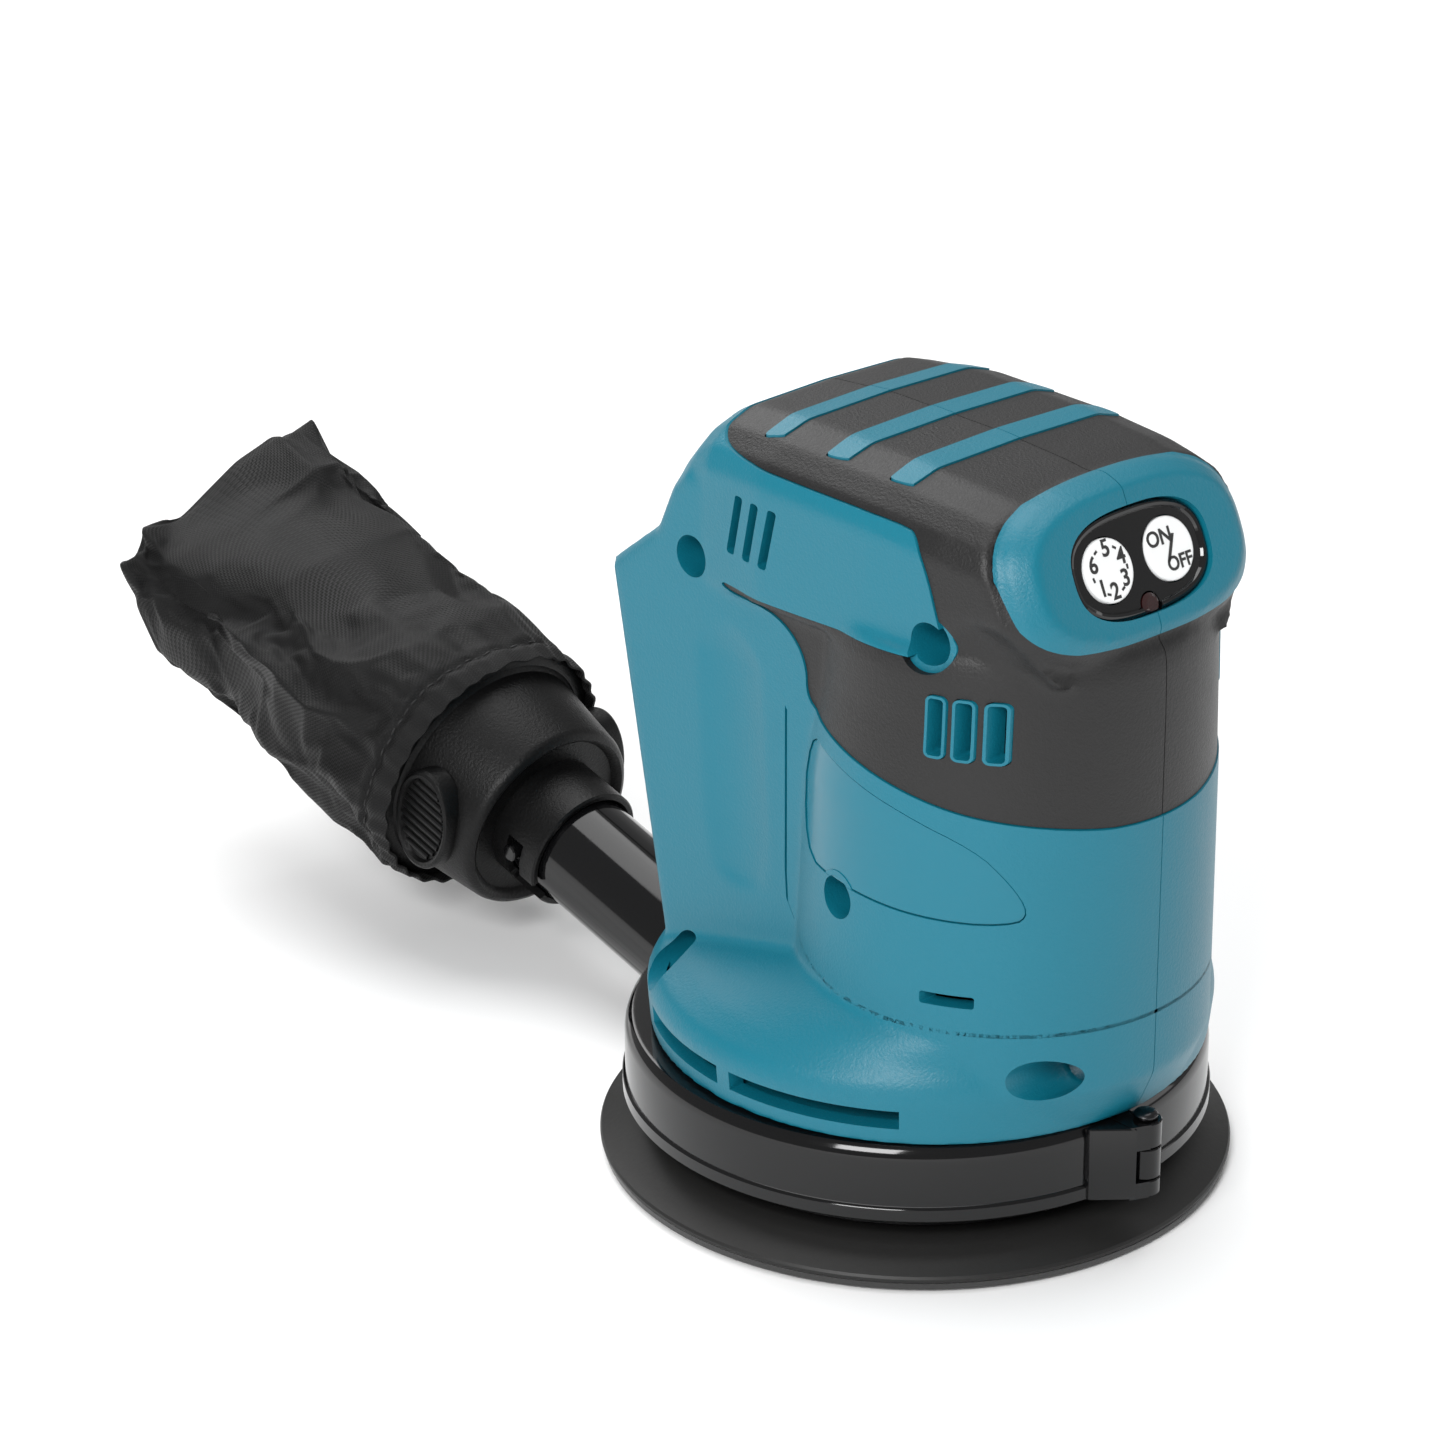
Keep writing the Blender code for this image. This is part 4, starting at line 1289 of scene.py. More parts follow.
def oblong(half_width: float, top: float, bottom: float, height: float,
           segments: int) -> Ring:
    """Rounded oblong outline in the panel's own plane.

    Args:
        half_width: Half its width.
        top: Its upper edge.
        bottom: Its lower edge.
        height: Its distance out of the plane.
        segments: Points round it.

    Returns:
        The ring.
    """
    middle = (top + bottom) / 2
    half_height = (top - bottom) / 2
    points = []
    power = 2.0 / 2.7
    for c, s in circle(0.0, 0.0, 1.0, segments):
        points.append((half_width * math.copysign(abs(c) ** power, c),
                       middle + half_height * math.copysign(abs(s) ** power, s), height))
    return points


# --------------------------------------------------------------- control panel

@dataclass
class ControlPanel:
    """Glossy panel with a speed key, a power key and an indicator."""

    finishes: Finishes
    key_x: float = 7.8
    key_r: float = 5.85

    def face(self) -> None:
        """Make the black face with its raised rim and key holes."""
        rings = [oblong(17.0, 9.55, -9.55, -3.1, 96), oblong(17.0, 9.55, -9.55, -1.2, 96),
                 oblong(16.8, 9.35, -9.35, -0.85, 96), oblong(16.4, 8.95, -8.95, -0.7, 96),
                 oblong(15.9, 8.45, -8.45, -0.85, 96), oblong(15.6, 8.15, -8.15, -1.3, 96)]
        face = loft("panel_face", rings, panel_place())
        for x in (-self.key_x, self.key_x):
            place = panel_place() @ Matrix.Translation((x * MM, 0, 0))
            cut(face, disc("key_hole", self.key_r + 0.25, -5, 2, 64, place))
        lens_place = panel_place() @ Matrix.Translation((0, -8.2 * MM, 0))
        cut(face, disc("lens_hole", 2.4, -5, 2, 40, lens_place))
        self.finishes.hand_in(face, "housing", Finishes.PANEL, "gloss_black",
                              "control_panel")

    def key(self, name: str, x: float, node: str, body: str) -> None:
        """Make a white key with a softly rounded, slightly dished top.

        Args:
            name: Name of the piece.
            x: Its middle across the panel.
            node: The CAD node it stands for.
            body: The body it rides on.
        """
        r = self.key_r
        loop = [(0, -4.4), (r - 1.0, -4.4), (r - 1.0, -3.2), (r, -3.2), (r, -1.05),
                (r - 0.08, -0.8), (r - 0.3, -0.63), (r - 0.6, -0.6), (r - 1.4, -0.66),
                (0, -0.72)]
        place = panel_place() @ Matrix.Translation((x * MM, 0, 0))
        self.finishes.hand_in(turned(name, loop, 96, place), body, Finishes.KEY,
                              "white_key", node)

    def words(self, name: str, body: str, marks: list[tuple]) -> None:
        """Print plain marks on a key.

        Args:
            name: Name of the printed piece.
            body: The body it rides on.
            marks: Each mark's text, place across, place up, height and turn.
        """
        made = []
        for text, x, y, size, turn in marks:
            curve = bpy.data.curves.new("mark", "FONT")
            curve.body = text
            curve.align_x = "CENTER"
            curve.align_y = "CENTER"
            curve.size = size * MM
            curve.extrude = 0.00004
            curve.offset = 0.00009
            curve.resolution_u = 4
            item = bpy.data.objects.new("mark", curve)
            bpy.context.scene.collection.objects.link(item)
            mesh = evaluated_mesh(item)
            bpy.data.objects.remove(item, do_unlink=True)
            place = (panel_place() @ Matrix.Translation((x * MM, y * MM, -0.64 * MM))
                     @ Matrix.Rotation(math.radians(turn), 4, "Z"))
            mesh.transform(place)
            made.append(link("mark", mesh))
        self.finishes.hand_in(bundle(name, *made), body, Finishes.INK, "matte_black")

    def dial_marks(self) -> list[tuple]:
        """Lay out speeds one to six round the speed key, with dashes between.

        Returns:
            The marks.
        """
        marks = []
        angles = (225.0, 270.0, 325.0, 25.0, 85.0, 155.0)
        for number, degrees in enumerate(angles):
            a = math.radians(degrees)
            marks.append((str(number + 1), -self.key_x + 3.9 * math.cos(a),
                          3.9 * math.sin(a), 4.3, 0.0))
        for first, second in zip(angles, (270.0, 325.0, 385.0, 85.0, 155.0, 225.0)):
            a = math.radians((first + second) / 2)
            marks.append(("-", -self.key_x + 4.1 * math.cos(a), 4.1 * math.sin(a), 3.0,
                          math.degrees(a) + 90))
        return marks

    def build(self) -> None:
        """Make the face, the keys and their marks."""
        self.face()
        self.key("speed_key_cap", -self.key_x, "speed_button", "speed_key")
        self.key("power_key_cap", self.key_x, "power_button", "power_key")
        self.words("speed_marks", "speed_key", self.dial_marks())
        x = self.key_x
        self.words("power_marks", "power_key",
                   [("ON", x - 2.0, 2.3, 4.0, 0.0), ("/", x + 0.1, -0.2, 7.0, -14.0),
                    ("OFF", x + 1.5, -2.9, 3.6, 0.0)])


# ----------------------------------------------------------- dust ring and spout

@dataclass
class Shroud:
    """Two-part dust ring that hinges at the front and carries the spout."""

    finishes: Finishes
    ring_r: float = 57.0
    low: float = 15.5
    top: float = 30.7
    hinge_y: float = -60.2
    spout_r: float = 11.75
    length: float = 66.0

    def clearance(self, margin: float) -> Thing:
        """Make the room that the orbiting pad needs under the spout.

        Args:
            margin: Room added all round.

        Returns:
            The room, as a tool.
        """
        loop = [(0, -5), (64.0 + margin, -5), (64.0 + margin, 5.5 + margin),
                (57.2 + margin, 12.6 + margin), (56.4 + margin, self.low), (0, self.low)]
        return turned("clearance", loop, 96)

    def whole(self) -> Thing:
        """Make the ring and spout in one, before they are split.

        Returns:
            The unsplit body.
        """
        ring = turned("shroud", [(54.6, 15.9), (54.9, 15.5), (56.6, 15.5), (57.0, 15.9),
                                 (57.0, 18.2), (56.8, 18.5), (56.45, 18.7), (56.45, 27.6),
                                 (56.3, 28.6), (55.8, 29.9), (55.0, 30.6), (54.2, 30.7),
                                 (46.0, 30.7), (46.0, 28.4), (54.6, 28.4)], 180)
        place = spout_place()
        neck = turned("neck", [(0, 0), (13.6, 0), (13.4, 6.0), (12.6, 10.5),
                               (self.spout_r + 0.2, 13.0), (self.spout_r, 14.0), (0, 14.0)],
                      96, place)
        pipe = turned("spout", [(0, 2), (self.spout_r, 2), (self.spout_r, 65.4),
                                (self.spout_r - 0.5, 66.0), (0, 66.0)], 96, place)
        outside = join(neck, pipe)
        cut(outside, disc("ring_inside", 55.0, -20, 60, 96), self.clearance(0.0))
        cut(outside, box("above", (-60, -80, self.top), (60, 56.0, 80)))
        join(ring, outside)
        bore = disc("bore", 9.6, -6.0, self.length + 5, 64, place)
        return cut(ring, cut(bore, self.clearance(1.8)))

    def half(self, whole: Thing, side: Side) -> None:
        """Make one half with its hinge knuckles.

        Args:
            whole: The unsplit ring and spout.
            side: Which half.
        """
        left = side is Side.LEFT
        made = keep(duplicate(whole, "dust_ring_" + side.word), half_space(side, 0.12))
        spans = [((self.low, 18.8), (25.6, self.top)), ((19.1, 25.3),)]
        own, others = spans if left else spans[::-1]
        hinge = Matrix.Translation((0, self.hinge_y * MM, 0))
        for low, high in others:
            cut(made, box("room", (-3.8, self.hinge_y - 5, low - 0.3), (3.8, -56.0, high + 0.3)))
        if left:
            lug = [(-11.0, -55.2), (-10.8, -56.4), (-4.1, -62.2), (-4.1, -55.2)]
            join(made, rounded(prism_z("lug", lug, self.low + 0.1, self.top - 0.1), 0.4))
        for low, high in own:
            x0, x1 = sorted((side.value * (5.0 if left else 3.1), side.value * 0.12))
            if left:
                web = [(-5.2, -60.0), (-5.0, -61.4), (-1.4, -63.0), (0.0, -60.0)]
                join(made, prism_z("web", web, low, high))
            arm = box("arm", (x0, self.hinge_y - 0.6, low), (x1, -55.2, high))
            knuckle = turned("knuckle", [(0, low), (2.9, low), (3.1, low + 0.2),
                                         (3.1, high - 0.2), (2.9, high), (0, high)], 56, hinge)
            join(made, arm, knuckle)
        cut(made, disc("pin_hole", 1.6, 0, 60, 40, hinge))
        if left:
            place = (spout_place() @ Matrix.Translation((0, 0, 56.7 * MM))
                     @ Matrix.Rotation(-math.pi / 2, 4, "Y"))
            stud = turned("stud", [(0, 10.2), (1.8, 10.2), (1.8, 14.7), (1.5, 14.95),
                                   (0, 14.95)], 40, place)
            join(made, stud)
        self.finishes.hand_in(made, "housing", Finishes.GLOSS, "gloss_black",
                              "shroud_" + side.word, 30.0)

    def build(self) -> None:
        """Make both halves and the headed hinge pin."""
        whole = self.whole()
        for side in Side:
            self.half(whole, side)
        discard(whole)
        hinge = Matrix.Translation((0, self.hinge_y * MM, 0))
        pin = turned("hinge_pin", [(0, 16.2), (1.3, 16.2), (1.3, 30.9), (2.2, 30.9),
                                   (2.3, 31.1), (2.3, 31.6), (2.0, 32.0), (1.2, 32.35),
                                   (0, 32.5)], 56, hinge)
        self.finishes.hand_in(pin, "housing", Finishes.PIN, "steel", "shroud_hinge_pin")


# ------------------------------------------------------------------------- pad

@dataclass
class SandingPad:
    """Backing disc, foam and hook face of the pad."""

    finishes: Finishes
    radius: float = 61.5
    dust_ring_r: float = 34.0
    dust_r: float = 4.6
    screw_ring_r: float = 11.0

    def holes(self, screw_r: float) -> Thing:
        """Make the dust holes and screw holes through a disc, as one tool.

        Args:
            screw_r: Radius of the screw holes.

        Returns:
            The tool.
        """
        tools = []
        for name, count, ring_r, radius, segments in (
                ("dust_hole", 8, self.dust_ring_r, self.dust_r, 40),
                ("screw_hole", 4, self.screw_ring_r, screw_r, 32)):
            for k in range(count):
                a = 2 * math.pi * (k + 0.5) / count
                place = Matrix.Translation((ring_r * MM * math.cos(a),
                                            ring_r * MM * math.sin(a), 0))
                tools.append(disc(name, radius, -2, 20, segments, place))
        return bundle("holes", *tools)

    def piece(self, name: str, loop: list[Flat], node: str, screw: float, finish: Finish,
              slot: str) -> None:
        """Make one turned disc of the pad.

        Args:
            name: Name of the piece.
            loop: Its closed profile.
            node: The CAD node it stands for.
            screw: Radius of its screw holes.
            finish: Its finish.
            slot: The record's slot.
        """
        made = cut(turned(name, loop, 180), self.holes(screw))
        made.data.transform(pad_place())
        self.finishes.hand_in(made, "pad", finish, slot, node, 30.0)

    def build(self) -> None:
        """Make the three discs of the pad."""
        r = self.radius
        self.piece("pad_hook_disc", [(0, 2.9), (r - 0.7, 2.9), (r - 0.5, 3.1), (r - 0.5, 4.2),
                                     (0, 4.2)], "hook_face", 3.4, Finishes.HOOK, "hook")
        foam = [(0, 4.5), (r - 0.4, 4.5), (r, 4.9), (r, 5.4), (r - 0.3, 5.9),
                (58.6, 7.2), (55.6, 9.2), (53.2, 10.4), (52.0, 10.6), (0, 10.6)]
        self.piece("pad_cushion", foam, "pad_foam", 3.4, Finishes.PAD, "foam")
        hub = [(0, 10.9), (51.0, 10.9), (51.2, 11.2), (50.2, 12.4), (47.0, 12.9), (46.2, 13.8),
               (45.8, 14.0), (0, 14.0)]
        self.piece("pad_backing", hub, "pad_hub", 1.9, Finishes.MATTE, "matte_black")


# -------------------------------------------------------------- collar and bag

@dataclass
class Collar:
    """Plug-on collar that carries the bag, with a finger grip on each side."""

    finishes: Finishes
    rim: float = 50.0
    front: float = 61.5
    back: float = 86.5
    grip_back: float = 12.4
    grip_oval: Point = (1.0, 1.22, 0.86)

    def profile(self) -> list[Flat]:
        """Lay out the collar's closed loop, from its sleeve to its bag seat.

        Returns:
            The loop.
        """
        rim, front, back = self.rim, self.front, self.back
        return [(12.05, rim + 0.4), (12.4, rim), (13.3, rim), (13.7, rim + 0.4),
                (13.7, rim + 3.0), (13.7, front + 1.8), (18.2, front + 1.8),
                (18.6, front + 1.2), (19.1, front + 0.4), (19.8, front), (20.6, front + 0.3),
                (21.2, front + 1.0), (21.6, front + 2.0), (24.0, back - 4.9),
                (24.9, back - 4.0), (27.2, back - 3.5), (27.7, back - 3.1),
                (27.8, back - 2.5), (27.6, back - 1.9), (27.0, back - 1.6),
                (25.6, back - 1.3), (25.4, back - 1.0), (25.4, back + 6.0),
                (23.2, back + 6.0), (22.4, front + 8.0), (12.05, front + 8.0)]

    def bayonet(self) -> list[Thing]:
        """Make the L-shaped slot that the spout's stud locks into.

        Returns:
            Its two arms, as tools.
        """
        run = box("slot_run", (-20, -2.6, self.rim - 1), (-8, 2.6, self.rim + 8.0),
                  Matrix.Rotation(math.radians(-32), 4, "Z"))
        catch = turned("slot_catch", [(8, self.rim + 4.4), (20, self.rim + 4.4),
                                      (20, self.rim + 9.0), (8, self.rim + 9.0)], 64)
        corner = [(0.0, 0.0)]
        for k in range(17):
            a = math.radians(180 - 37 + 49 * k / 16)
            corner.append((25 * math.cos(a), 25 * math.sin(a)))
        return [run, keep(catch, prism_z("sector", corner, 40, 70))]

    def grip_place(self, side: Side, out: float) -> Matrix:
        """Place a finger grip's oval, a distance out from the spout's axis."""
        middle = Vector((side.value * out, 0, self.back - self.grip_back)) * MM
        return Matrix.Translation(middle) @ Matrix.Diagonal((*self.grip_oval, 1.0))

    def grip_frame(self, side: Side) -> Thing:
        """Make the oval pad of a finger grip, with its sunken field.

        Args:
            side: Which side of the collar.

        Returns:
            The pad, in the spout's frame.
        """
        oval = (self.grip_place(side, 23.2)
                @ Matrix.Rotation(side.value * math.pi / 2, 4, "Y"))
        loop = [(0, -3.0), (9.6, -3.0), (9.6, 0.6), (9.3, 1.2), (8.8, 1.5), (8.2, 1.3),
                (7.8, 0.5), (0, 0.5)]
        return turned("finger_pad", loop, 72, oval)

    def rib_tree(self) -> bpy.types.NodeTree:
        """Make the tree that lays ribs across a finger grip, shorter at its ends.

        Returns:
            The geometry tree.
        """
        tree, start, end = new_group(
            "finger_ribs", "GeometryNodeTree",
            {"Count": 9, "Pitch": 1.55 * MM, "Radius": 0.5 * MM, "Reach": 7.4 * MM,
             "Material": "Material"}, {"Mesh": "Geometry"})
        pitch, reach = start.outputs["Pitch"], start.outputs["Reach"]
        span = tree.maths("SUBTRACT", start.outputs["Count"], 1.0)
        half = tree.maths("MULTIPLY", tree.maths("MULTIPLY", span, pitch), -0.5)
        shift, first = (tree.add("ShaderNodeCombineXYZ", {"Y": value}).outputs["Vector"]
                        for value in (pitch, half))
        line = tree.add("GeometryNodeMeshLine", {
            "Count": start.outputs["Count"], "Offset": shift, "Start Location": first})
        rod = tree.add("GeometryNodeMeshCylinder", {
            "Vertices": 16, "Side Segments": 8, "Depth": 2.0,
            "Radius": start.outputs["Radius"]})
        place = tree.add("GeometryNodeInputPosition").outputs["Position"]
        height = tree.add("ShaderNodeSeparateXYZ", {"Vector": place}).outputs["Y"]
        left = tree.maths("SUBTRACT", tree.maths("MULTIPLY", reach, reach),
                          tree.maths("MULTIPLY", height, height))
        length = tree.maths("SQRT", tree.maths("MAXIMUM", left, 0.000004))
        scale = tree.add("ShaderNodeCombineXYZ", {"X": 1.0, "Y": 1.0, "Z": length})
        tree.strew((start, end), {"Points": line.outputs["Mesh"],
                                  "Instance": rod.outputs["Mesh"],
                                  "Scale": scale.outputs["Vector"]})
        return tree.tree

    def ribs(self) -> Thing:
        """Make the ribs of both finger grips as one piece.

        Returns:
            The ribs.
        """
        group = self.rib_tree()
        paint = self.finishes.made[Finishes.MATTE.name]
        made = []
        for side in Side:
            item = grown(link("ribs", bpy.data.meshes.new("ribs")), group,
                         {"Material": paint})
            item.data.transform(spout_place() @ self.grip_place(side, 23.8))
            made.append(item)
        return bundle("finger_ribs", *made)

    def build(self) -> None:
        """Make the collar and its finger ribs."""
        collar = turned("collar", self.profile(), 120)
        join(collar, *(self.grip_frame(side) for side in Side))
        cut(collar, *self.bayonet())
        collar.data.transform(spout_place())
        self.finishes.hand_in(collar, "bag", Finishes.MATTE, "matte_black", "bag_collar",
                              30.0)
        self.finishes.hand_in(self.ribs(), "bag", Finishes.MATTE, "matte_black", None, 50.0)


@dataclass
class DustBag:
    """Slack nylon bag, gathered on the collar by an elastic hem."""

    finishes: Finishes
    start: float = 80.5
    around: int = 132
    along: int = 90
    frames: int = 20
    most_move: float = 5.0
    hem: float = 0.085
    flat_around: float = 0.182
    woven_around: float = 0.180
    woven_along: float = 0.120
    thickness: float = 0.5

    def stations(self) -> list[tuple[float, ...]]:
        """List the bag's sections along its length.

        Returns:
            Each section: share, distance, half width, half height, power, roll and lean.
        """
        s = self.start
        return [(0.0, s, 28.2, 28.2, 2.0, 0.0, 0.0), (0.06, s + 4, 29.2, 29.0, 2.0, 0.0, 0.0),
                (0.14, s + 10, 29.0, 28.6, 2.1, 2.0, 0.0),
                (0.30, s + 28, 29.6, 27.6, 2.5, 6.0, 0.0),
                (0.52, s + 54, 29.8, 26.2, 3.0, 10.0, 0.08),
                (0.72, s + 80, 29.2, 21.0, 3.6, 14.0, 0.28),
                (0.84, s + 93, 28.4, 15.0, 4.2, 16.0, 0.48),
                (0.88, s + 96, 27.0, 12.0, 4.0, 16.0, 0.52),
                (0.94, s + 97, 16.0, 6.0, 3.0, 16.0, 0.5),
                (1.0, s + 96.4, 0.4, 0.4, 2.0, 16.0, 0.5)]

    def section(self, share: float) -> list[float]:
        """Read the section at a share of the length, eased between stations.

        Args:
            share: Share of the bag's length.

        Returns:
            Distance, half width, half height, power, roll and lean.
        """
        stops = self.stations()
        for before, after in zip(stops, stops[1:]):
            if share <= after[0]:
                t = (share - before[0]) / (after[0] - before[0])
                return [b + (a - b) * t for b, a in zip(before[1:], after[1:])]
        return list(stops[-1][1:])

    def folds(self, share: float, angle: float) -> float:
        """How far the cloth stands off its section, in millimetres.

        Args:
            share: Share of the bag's length.
            angle: Angle round the spout's axis.

        Returns:
            The distance, outwards.
        """
        spot = Vector((math.cos(angle) * 1.1, math.sin(angle) * 1.1, share * 2.2))
        broad = noise.noise(spot * 1.3) * 2.8 - abs(noise.noise(spot * 2.1)) * 2.2
        gather = max(0.0, 1.0 - share / 0.24)
        pleat = math.sin(angle * 31 + 3.0 * noise.noise(spot * 2.0)) * 0.55 * gather ** 0.7
        band = max(0.0, 1.0 - abs(share - self.hem) / 0.02) * 1.1
        calm = min(1.0, share / 0.14) * min(1.0, (1.0 - share) / 0.10)
        corner = sum(pull * math.exp(-(((angle - at + math.pi) % (2 * math.pi) - math.pi)
                                       / 0.20) ** 2)
                     for at, pull in ((2.62, 1.5), (3.60, 4.0), (4.30, 3.0), (5.80, 4.0)))
        tip = math.exp(-((share - 0.855) / 0.055) ** 2)
        return broad * calm + pleat - band + corner * tip

    def grid(self) -> Thing:
        """Make the bag as one grid of quads, with its unrolled place as UVs.

        Returns:
            The grid.
        """
        points: list[Point] = []
        for row in range(self.along + 1):
            share = row / self.along
            height, half_w, half_h, power, roll, lean = self.section(share)
            turn = math.radians(roll)
            for k in range(self.around):
                a = 2 * math.pi * k / self.around
                c, s = math.cos(a), math.sin(a)
                proud = self.folds(share, a)
                x = (half_w + proud) * math.copysign(abs(c) ** (2 / power), c)
                y = (half_h + proud) * math.copysign(abs(s) ** (2 / power), s)
                down = y * math.cos(turn) - x * math.sin(turn)
                points.append((x * math.cos(turn) + y * math.sin(turn), down,
                               height - lean * down))
        faces = []
        for row in range(self.along):
            base = row * self.around
            for k in range(self.around):
                j = (k + 1) % self.around
                faces.append((base + k, base + j, base + self.around + j,
                              base + self.around + k))
        mesh = bpy.data.meshes.new("bag_cloth")
        mesh.from_pydata([Vector(p) * MM for p in points], [], faces)
        unrolled = mesh.uv_layers.new(name="unrolled")
        for face_index, face in enumerate(mesh.polygons):
            row, k = divmod(face_index, self.around)
            corners = ((k, row), (k + 1, row), (k + 1, row + 1), (k, row + 1))
            for loop, (u, v) in zip(face.loop_indices, corners):
                unrolled.data[loop].uv = (u / self.around * self.woven_around,
                                          v / self.along * self.woven_along)
        mesh.transform(spout_place())
        return link("bag_cloth", mesh)

    def relax(self, bag: Thing) -> None:
        """Let the cloth settle under a little air, held at its hem.

        Args:
            bag: The grid of cloth.
        """
        held = bag.vertex_groups.new(name="held")
        for row in range(self.along + 1):
            share = row / self.along
            if share < 0.1 or share > 0.985:
                first = row * self.around
                held.add(list(range(first, first + self.around)), 1.0, "REPLACE")
        before = [v.co.copy() for v in bag.data.vertices]
        modifier = bag.modifiers.new("cloth", "CLOTH")
        settings = modifier.settings
        settings.quality = 5
        settings.mass = 0.08
        settings.tension_stiffness = 12
        settings.compression_stiffness = 12
        settings.shear_stiffness = 4
        settings.bending_stiffness = 0.15
        settings.shrink_min = -0.045
        settings.use_pressure = True
        settings.uniform_pressure_force = 0.12
        settings.vertex_group_mass = "held"
        settings.effector_weights.gravity = 0.0
        modifier.collision_settings.use_collision = False
        modifier.point_cache.frame_start = 1
        modifier.point_cache.frame_end = self.frames
        for frame in range(1, self.frames + 1):
            bpy.context.scene.frame_set(frame)
        apply_modifiers(bag)
        bpy.context.scene.frame_set(1)
        limit = self.most_move * MM
        for vertex, start in zip(bag.data.vertices, before):
            move = vertex.co - start
            if move.length > limit:
                vertex.co = start + move.normalized() * limit

    def stitches(self, bag: Thing) -> Thing:
        """Row of stitches along the elastic hem.

        Args:
            bag: The settled cloth.

        Returns:
            The stitches as one plain piece.
        """
        first = round(self.along * self.hem) * self.around
        ring = [bag.data.vertices[first + k] for k in range(self.around)]
        edges = [(k, (k + 1) % self.around) for k in range(self.around)]
        line = bpy.data.meshes.new("stitch_line")
        line.from_pydata([v.co + v.normal * (0.12 * MM) for v in ring], edges, [])
        tree, start, end = new_group(
            "stitching", "GeometryNodeTree",
            {"Line": "Geometry", "Pitch": 2.6 * MM, "Length": 1.9 * MM,
             "Thread": 0.24 * MM, "Material": "Material"}, {"Mesh": "Geometry"})
        curve = tree.add("GeometryNodeMeshToCurve", {"Mesh": start.outputs["Line"]})
        spaced = tree.add("GeometryNodeCurveToPoints", {
            "Curve": curve.outputs["Curve"], "Length": start.outputs["Pitch"]},
            mode="LENGTH")
        thread = tree.add("GeometryNodeMeshUVSphere", {
            "Segments": 8, "Rings": 6, "Radius": start.outputs["Thread"]})
        long = tree.maths("DIVIDE", start.outputs["Length"], start.outputs["Thread"])
        scale = tree.add("ShaderNodeCombineXYZ", {
            "X": 1.0, "Y": 1.0, "Z": tree.maths("MULTIPLY", long, 0.5)})
        tree.strew((start, end), {"Points": spaced.outputs["Points"],
                                  "Instance": thread.outputs["Mesh"],
                                  "Scale": scale.outputs["Vector"],
                                  "Rotation": spaced.outputs["Rotation"]})
        paint = self.finishes.made[Finishes.GRIP.name]
        return grown(link("hem_stitches", line), tree.tree, {"Material": paint})

    def build(self) -> None:
        """Make the bag, settle it, and sew its hem."""
        bag = self.grid()
        self.relax(bag)
        stitches = self.stitches(bag)
        fine = bag.modifiers.new("fine", "SUBSURF")
        fine.levels = fine.render_levels = 1
        apply_modifiers(bag)
        thick = bag.modifiers.new("thick", "SOLIDIFY")
        thick.thickness = self.thickness * MM
        thick.offset = -1.0
        apply_modifiers(bag)
        bag.vertex_groups.clear()
        self.finishes.hand_in(bag, "bag", Finishes.NYLON, "woven", "dust_bag", 80.0)
        self.finishes.hand_in(stitches, "bag", Finishes.GRIP, "woven", None, 80.0)


# ------------------------------------------------------------- frame and stage

@dataclass
class Works:
    """Parts of the packed model whose shape is kept and whose finish is made better."""

    finishes: Finishes
    nodes: dict

    def build(self) -> None:
        """Give every kept node its finish."""
        groups = {
            Finishes.STEEL: ("rotor_shaft", "stator_core", "upper_bearing", "lower_bearing",
                             "counterweight", "pad_bearing", "bag_clamp_ring",
                             "screw_head_rear", "screw_head_front", "screw_body",
                             "screw_base_rear", "screw_base_front", "pad_screw_1",
                             "pad_screw_2", "pad_screw_3", "pad_screw_4"),
            Finishes.ALLOY: ("bearing_bracket", "motor_controller", "pad_spindle"),
            Finishes.COPPER: ("upper_winding", "lower_winding"),
            Finishes.BRASS: ("positive_blade", "signal_blade", "negative_blade"),
            Finishes.BOARD: ("control_board",),
            Finishes.MATTE: ("speed_switch", "power_switch", "terminal_block", "rotor_magnet",
                             "fan"),
            Finishes.GRIP: ("bearing_bush", "brake_ring", "battery_leads"),
            Finishes.LENS: ("led_lens",),
        }
        for finish, names in groups.items():
            for name in names:
                slots = self.nodes[name].data.materials
                for index in range(len(slots)):
                    slots[index] = self.finishes.made[finish.name]
        LOG.info("%d kept nodes dressed", sum(len(names) for names in groups.values()))


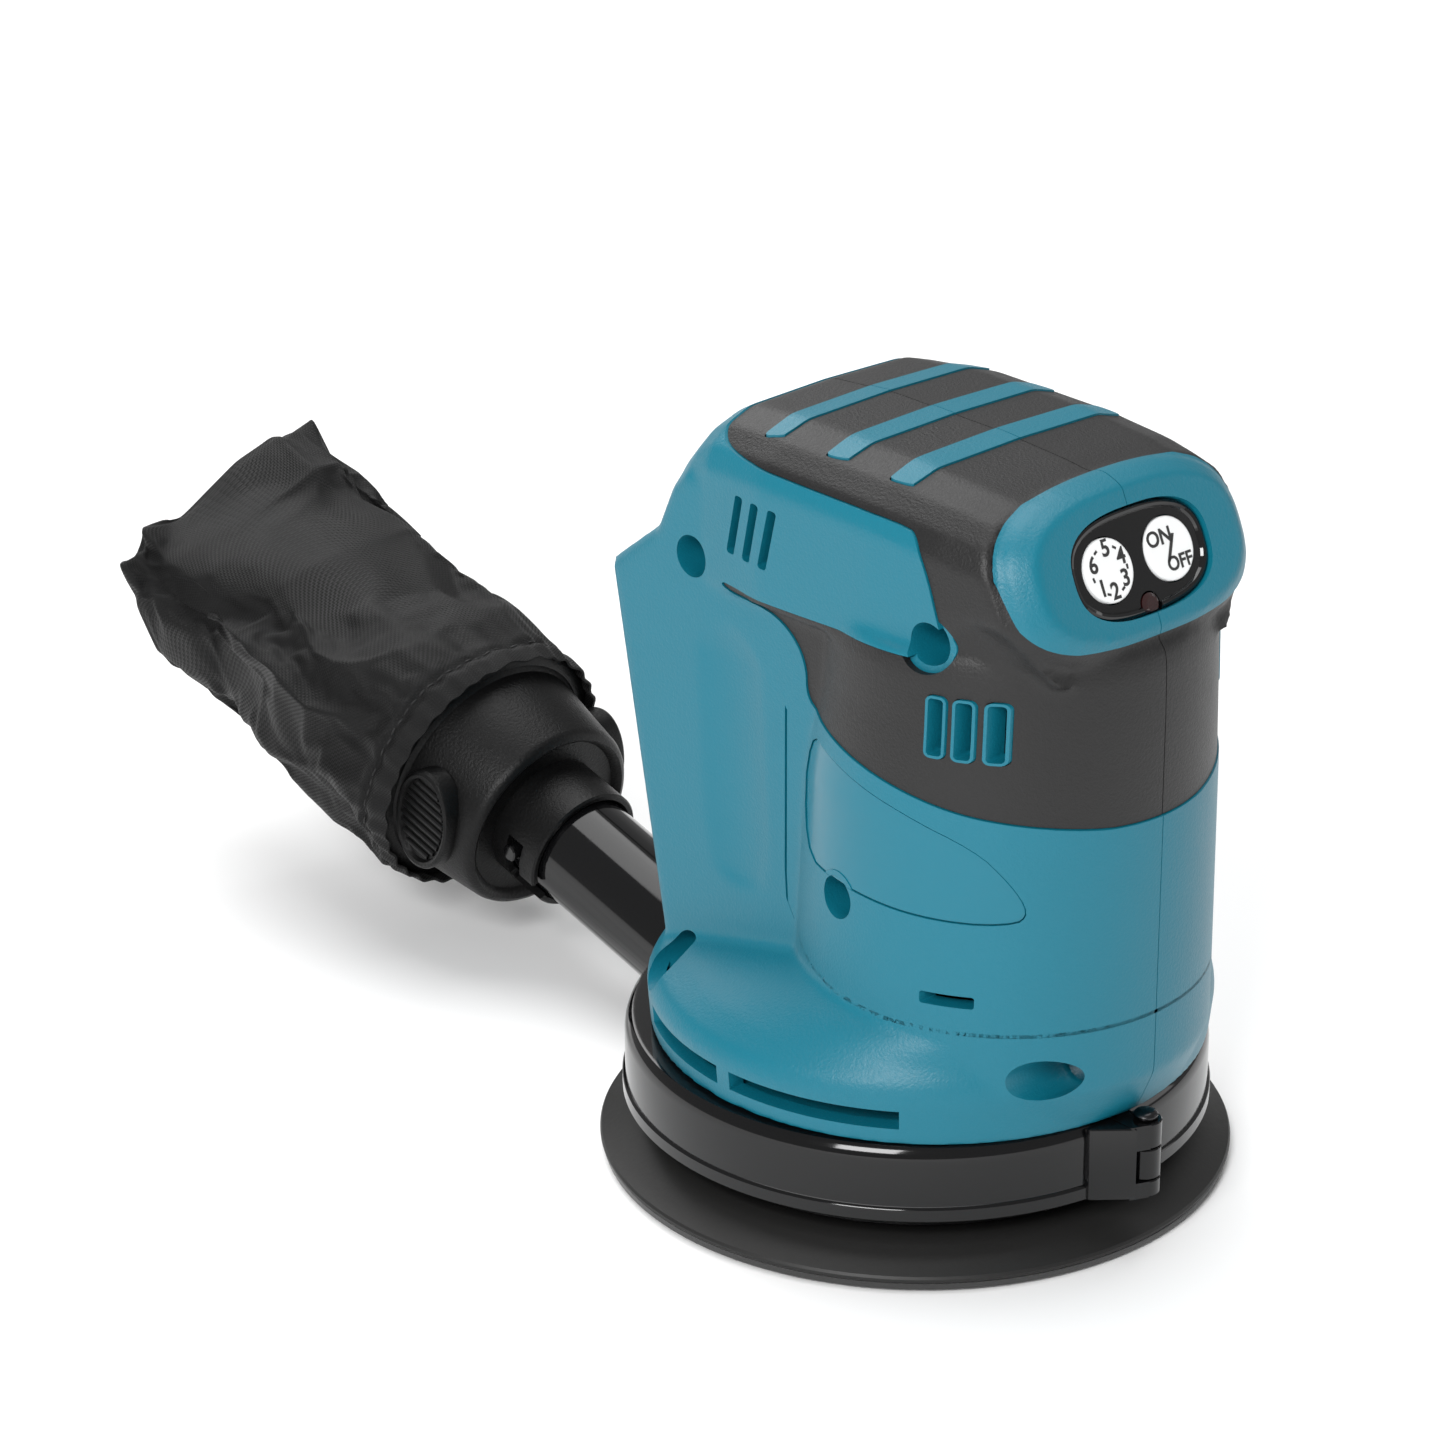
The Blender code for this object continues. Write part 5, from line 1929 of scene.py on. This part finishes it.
class Studio:
    """Floor, light and camera."""

    lens = 117.03
    sensor = 36.0
    eye = (-0.5725469, -0.5721653, 0.4446069)
    right = (0.73752221, -0.67531192, -0.00384709)
    up = (0.27497678, 0.29509508, 0.91504462)
    back = (-0.61680528, -0.6759236, 0.40333427)
    white = (0.93, 0.93, 0.93, 1.0)
    floor_reach = 6.0
    floor_drop = 0.0004

    def camera(self) -> None:
        """Put the camera where the sander was looked at from."""
        lens = bpy.data.cameras.new("camera")
        lens.lens = self.lens
        lens.sensor_width = self.sensor
        lens.clip_start = 0.01
        eye = bpy.data.objects.new("camera", lens)
        bpy.context.scene.collection.objects.link(eye)
        turn = Matrix((self.right, self.up, self.back)).transposed().to_4x4()
        eye.matrix_world = Matrix.Translation(self.eye) @ turn
        bpy.context.scene.camera = eye

    def light(self, name: str, place: Point, aim: Point, size: float, power: float) -> None:
        """Add a soft square light aimed at a point.

        Args:
            name: Name of the light.
            place: Where it stands, in metres.
            aim: What it looks at.
            size: Its side.
            power: Its strength, in watts.
        """
        lamp = bpy.data.lights.new(name, "AREA")
        lamp.size = size
        lamp.energy = power
        item = bpy.data.objects.new(name, lamp)
        bpy.context.scene.collection.objects.link(item)
        item.location = place
        item.rotation_euler = (Vector(aim) - Vector(place)).to_track_quat("-Z", "Y").to_euler()

    def floor(self) -> None:
        """Wide pale floor under the pad."""
        mesh = bpy.data.meshes.new("floor")
        reach = self.floor_reach
        corners = ((-reach, -reach), (reach, -reach), (reach, reach), (-reach, reach))
        mesh.from_pydata([(x, y, -self.floor_drop) for x, y in corners], [],
                         [(0, 1, 2, 3)])
        made, _, _ = new_material("pale_floor", {
            "Base Color": self.white, "Roughness": 0.9,
            "Specular IOR Level": 0.1})
        mesh.materials.append(made)
        link("floor", mesh)

    def build(self) -> None:
        """Set up the studio."""
        self.camera()
        self.floor()
        self.light("key", (-1.0, -0.50, 0.80), (0, 0, 0.07), 0.5, 15.0)
        self.light("rim", (0.35, 1.10, 0.90), (0, 0, 0.09), 0.7, 5.0)
        self.light("fill", (1.1, -0.75, 0.45), (0, 0, 0.08), 0.5, 1.2)
        sun = bpy.data.lights.new("overhead", "SUN")
        sun.energy = 1.9
        sun.angle = math.radians(50)
        sky = bpy.data.objects.new("overhead", sun)
        bpy.context.scene.collection.objects.link(sky)
        sky.rotation_euler = Vector((-0.15, -0.25, -1.0)).to_track_quat("-Z", "Y").to_euler()
        world = bpy.data.worlds.new("studio")
        bpy.context.scene.world = world
        world.use_nodes = True
        background = world.node_tree.nodes["Background"]
        background.inputs["Color"].default_value = (1.0, 1.0, 1.0, 1.0)
        background.inputs["Strength"].default_value = 0.35
        bpy.context.scene.view_settings.view_transform = "Standard"


def main() -> None:
    """Build every piece around the packed model; each piece's face count is logged."""
    logging.basicConfig(level=logging.INFO, format="%(message)s")
    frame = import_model()
    finishes = Finishes()
    Studio().build()
    Housing(finishes).build()
    ControlPanel(finishes).build()
    Shroud(finishes).build()
    SandingPad(finishes).build()
    Collar(finishes).build()
    DustBag(finishes).build()
    Works(finishes, frame["nodes"]).build()


if __name__ == "__main__":
    main()
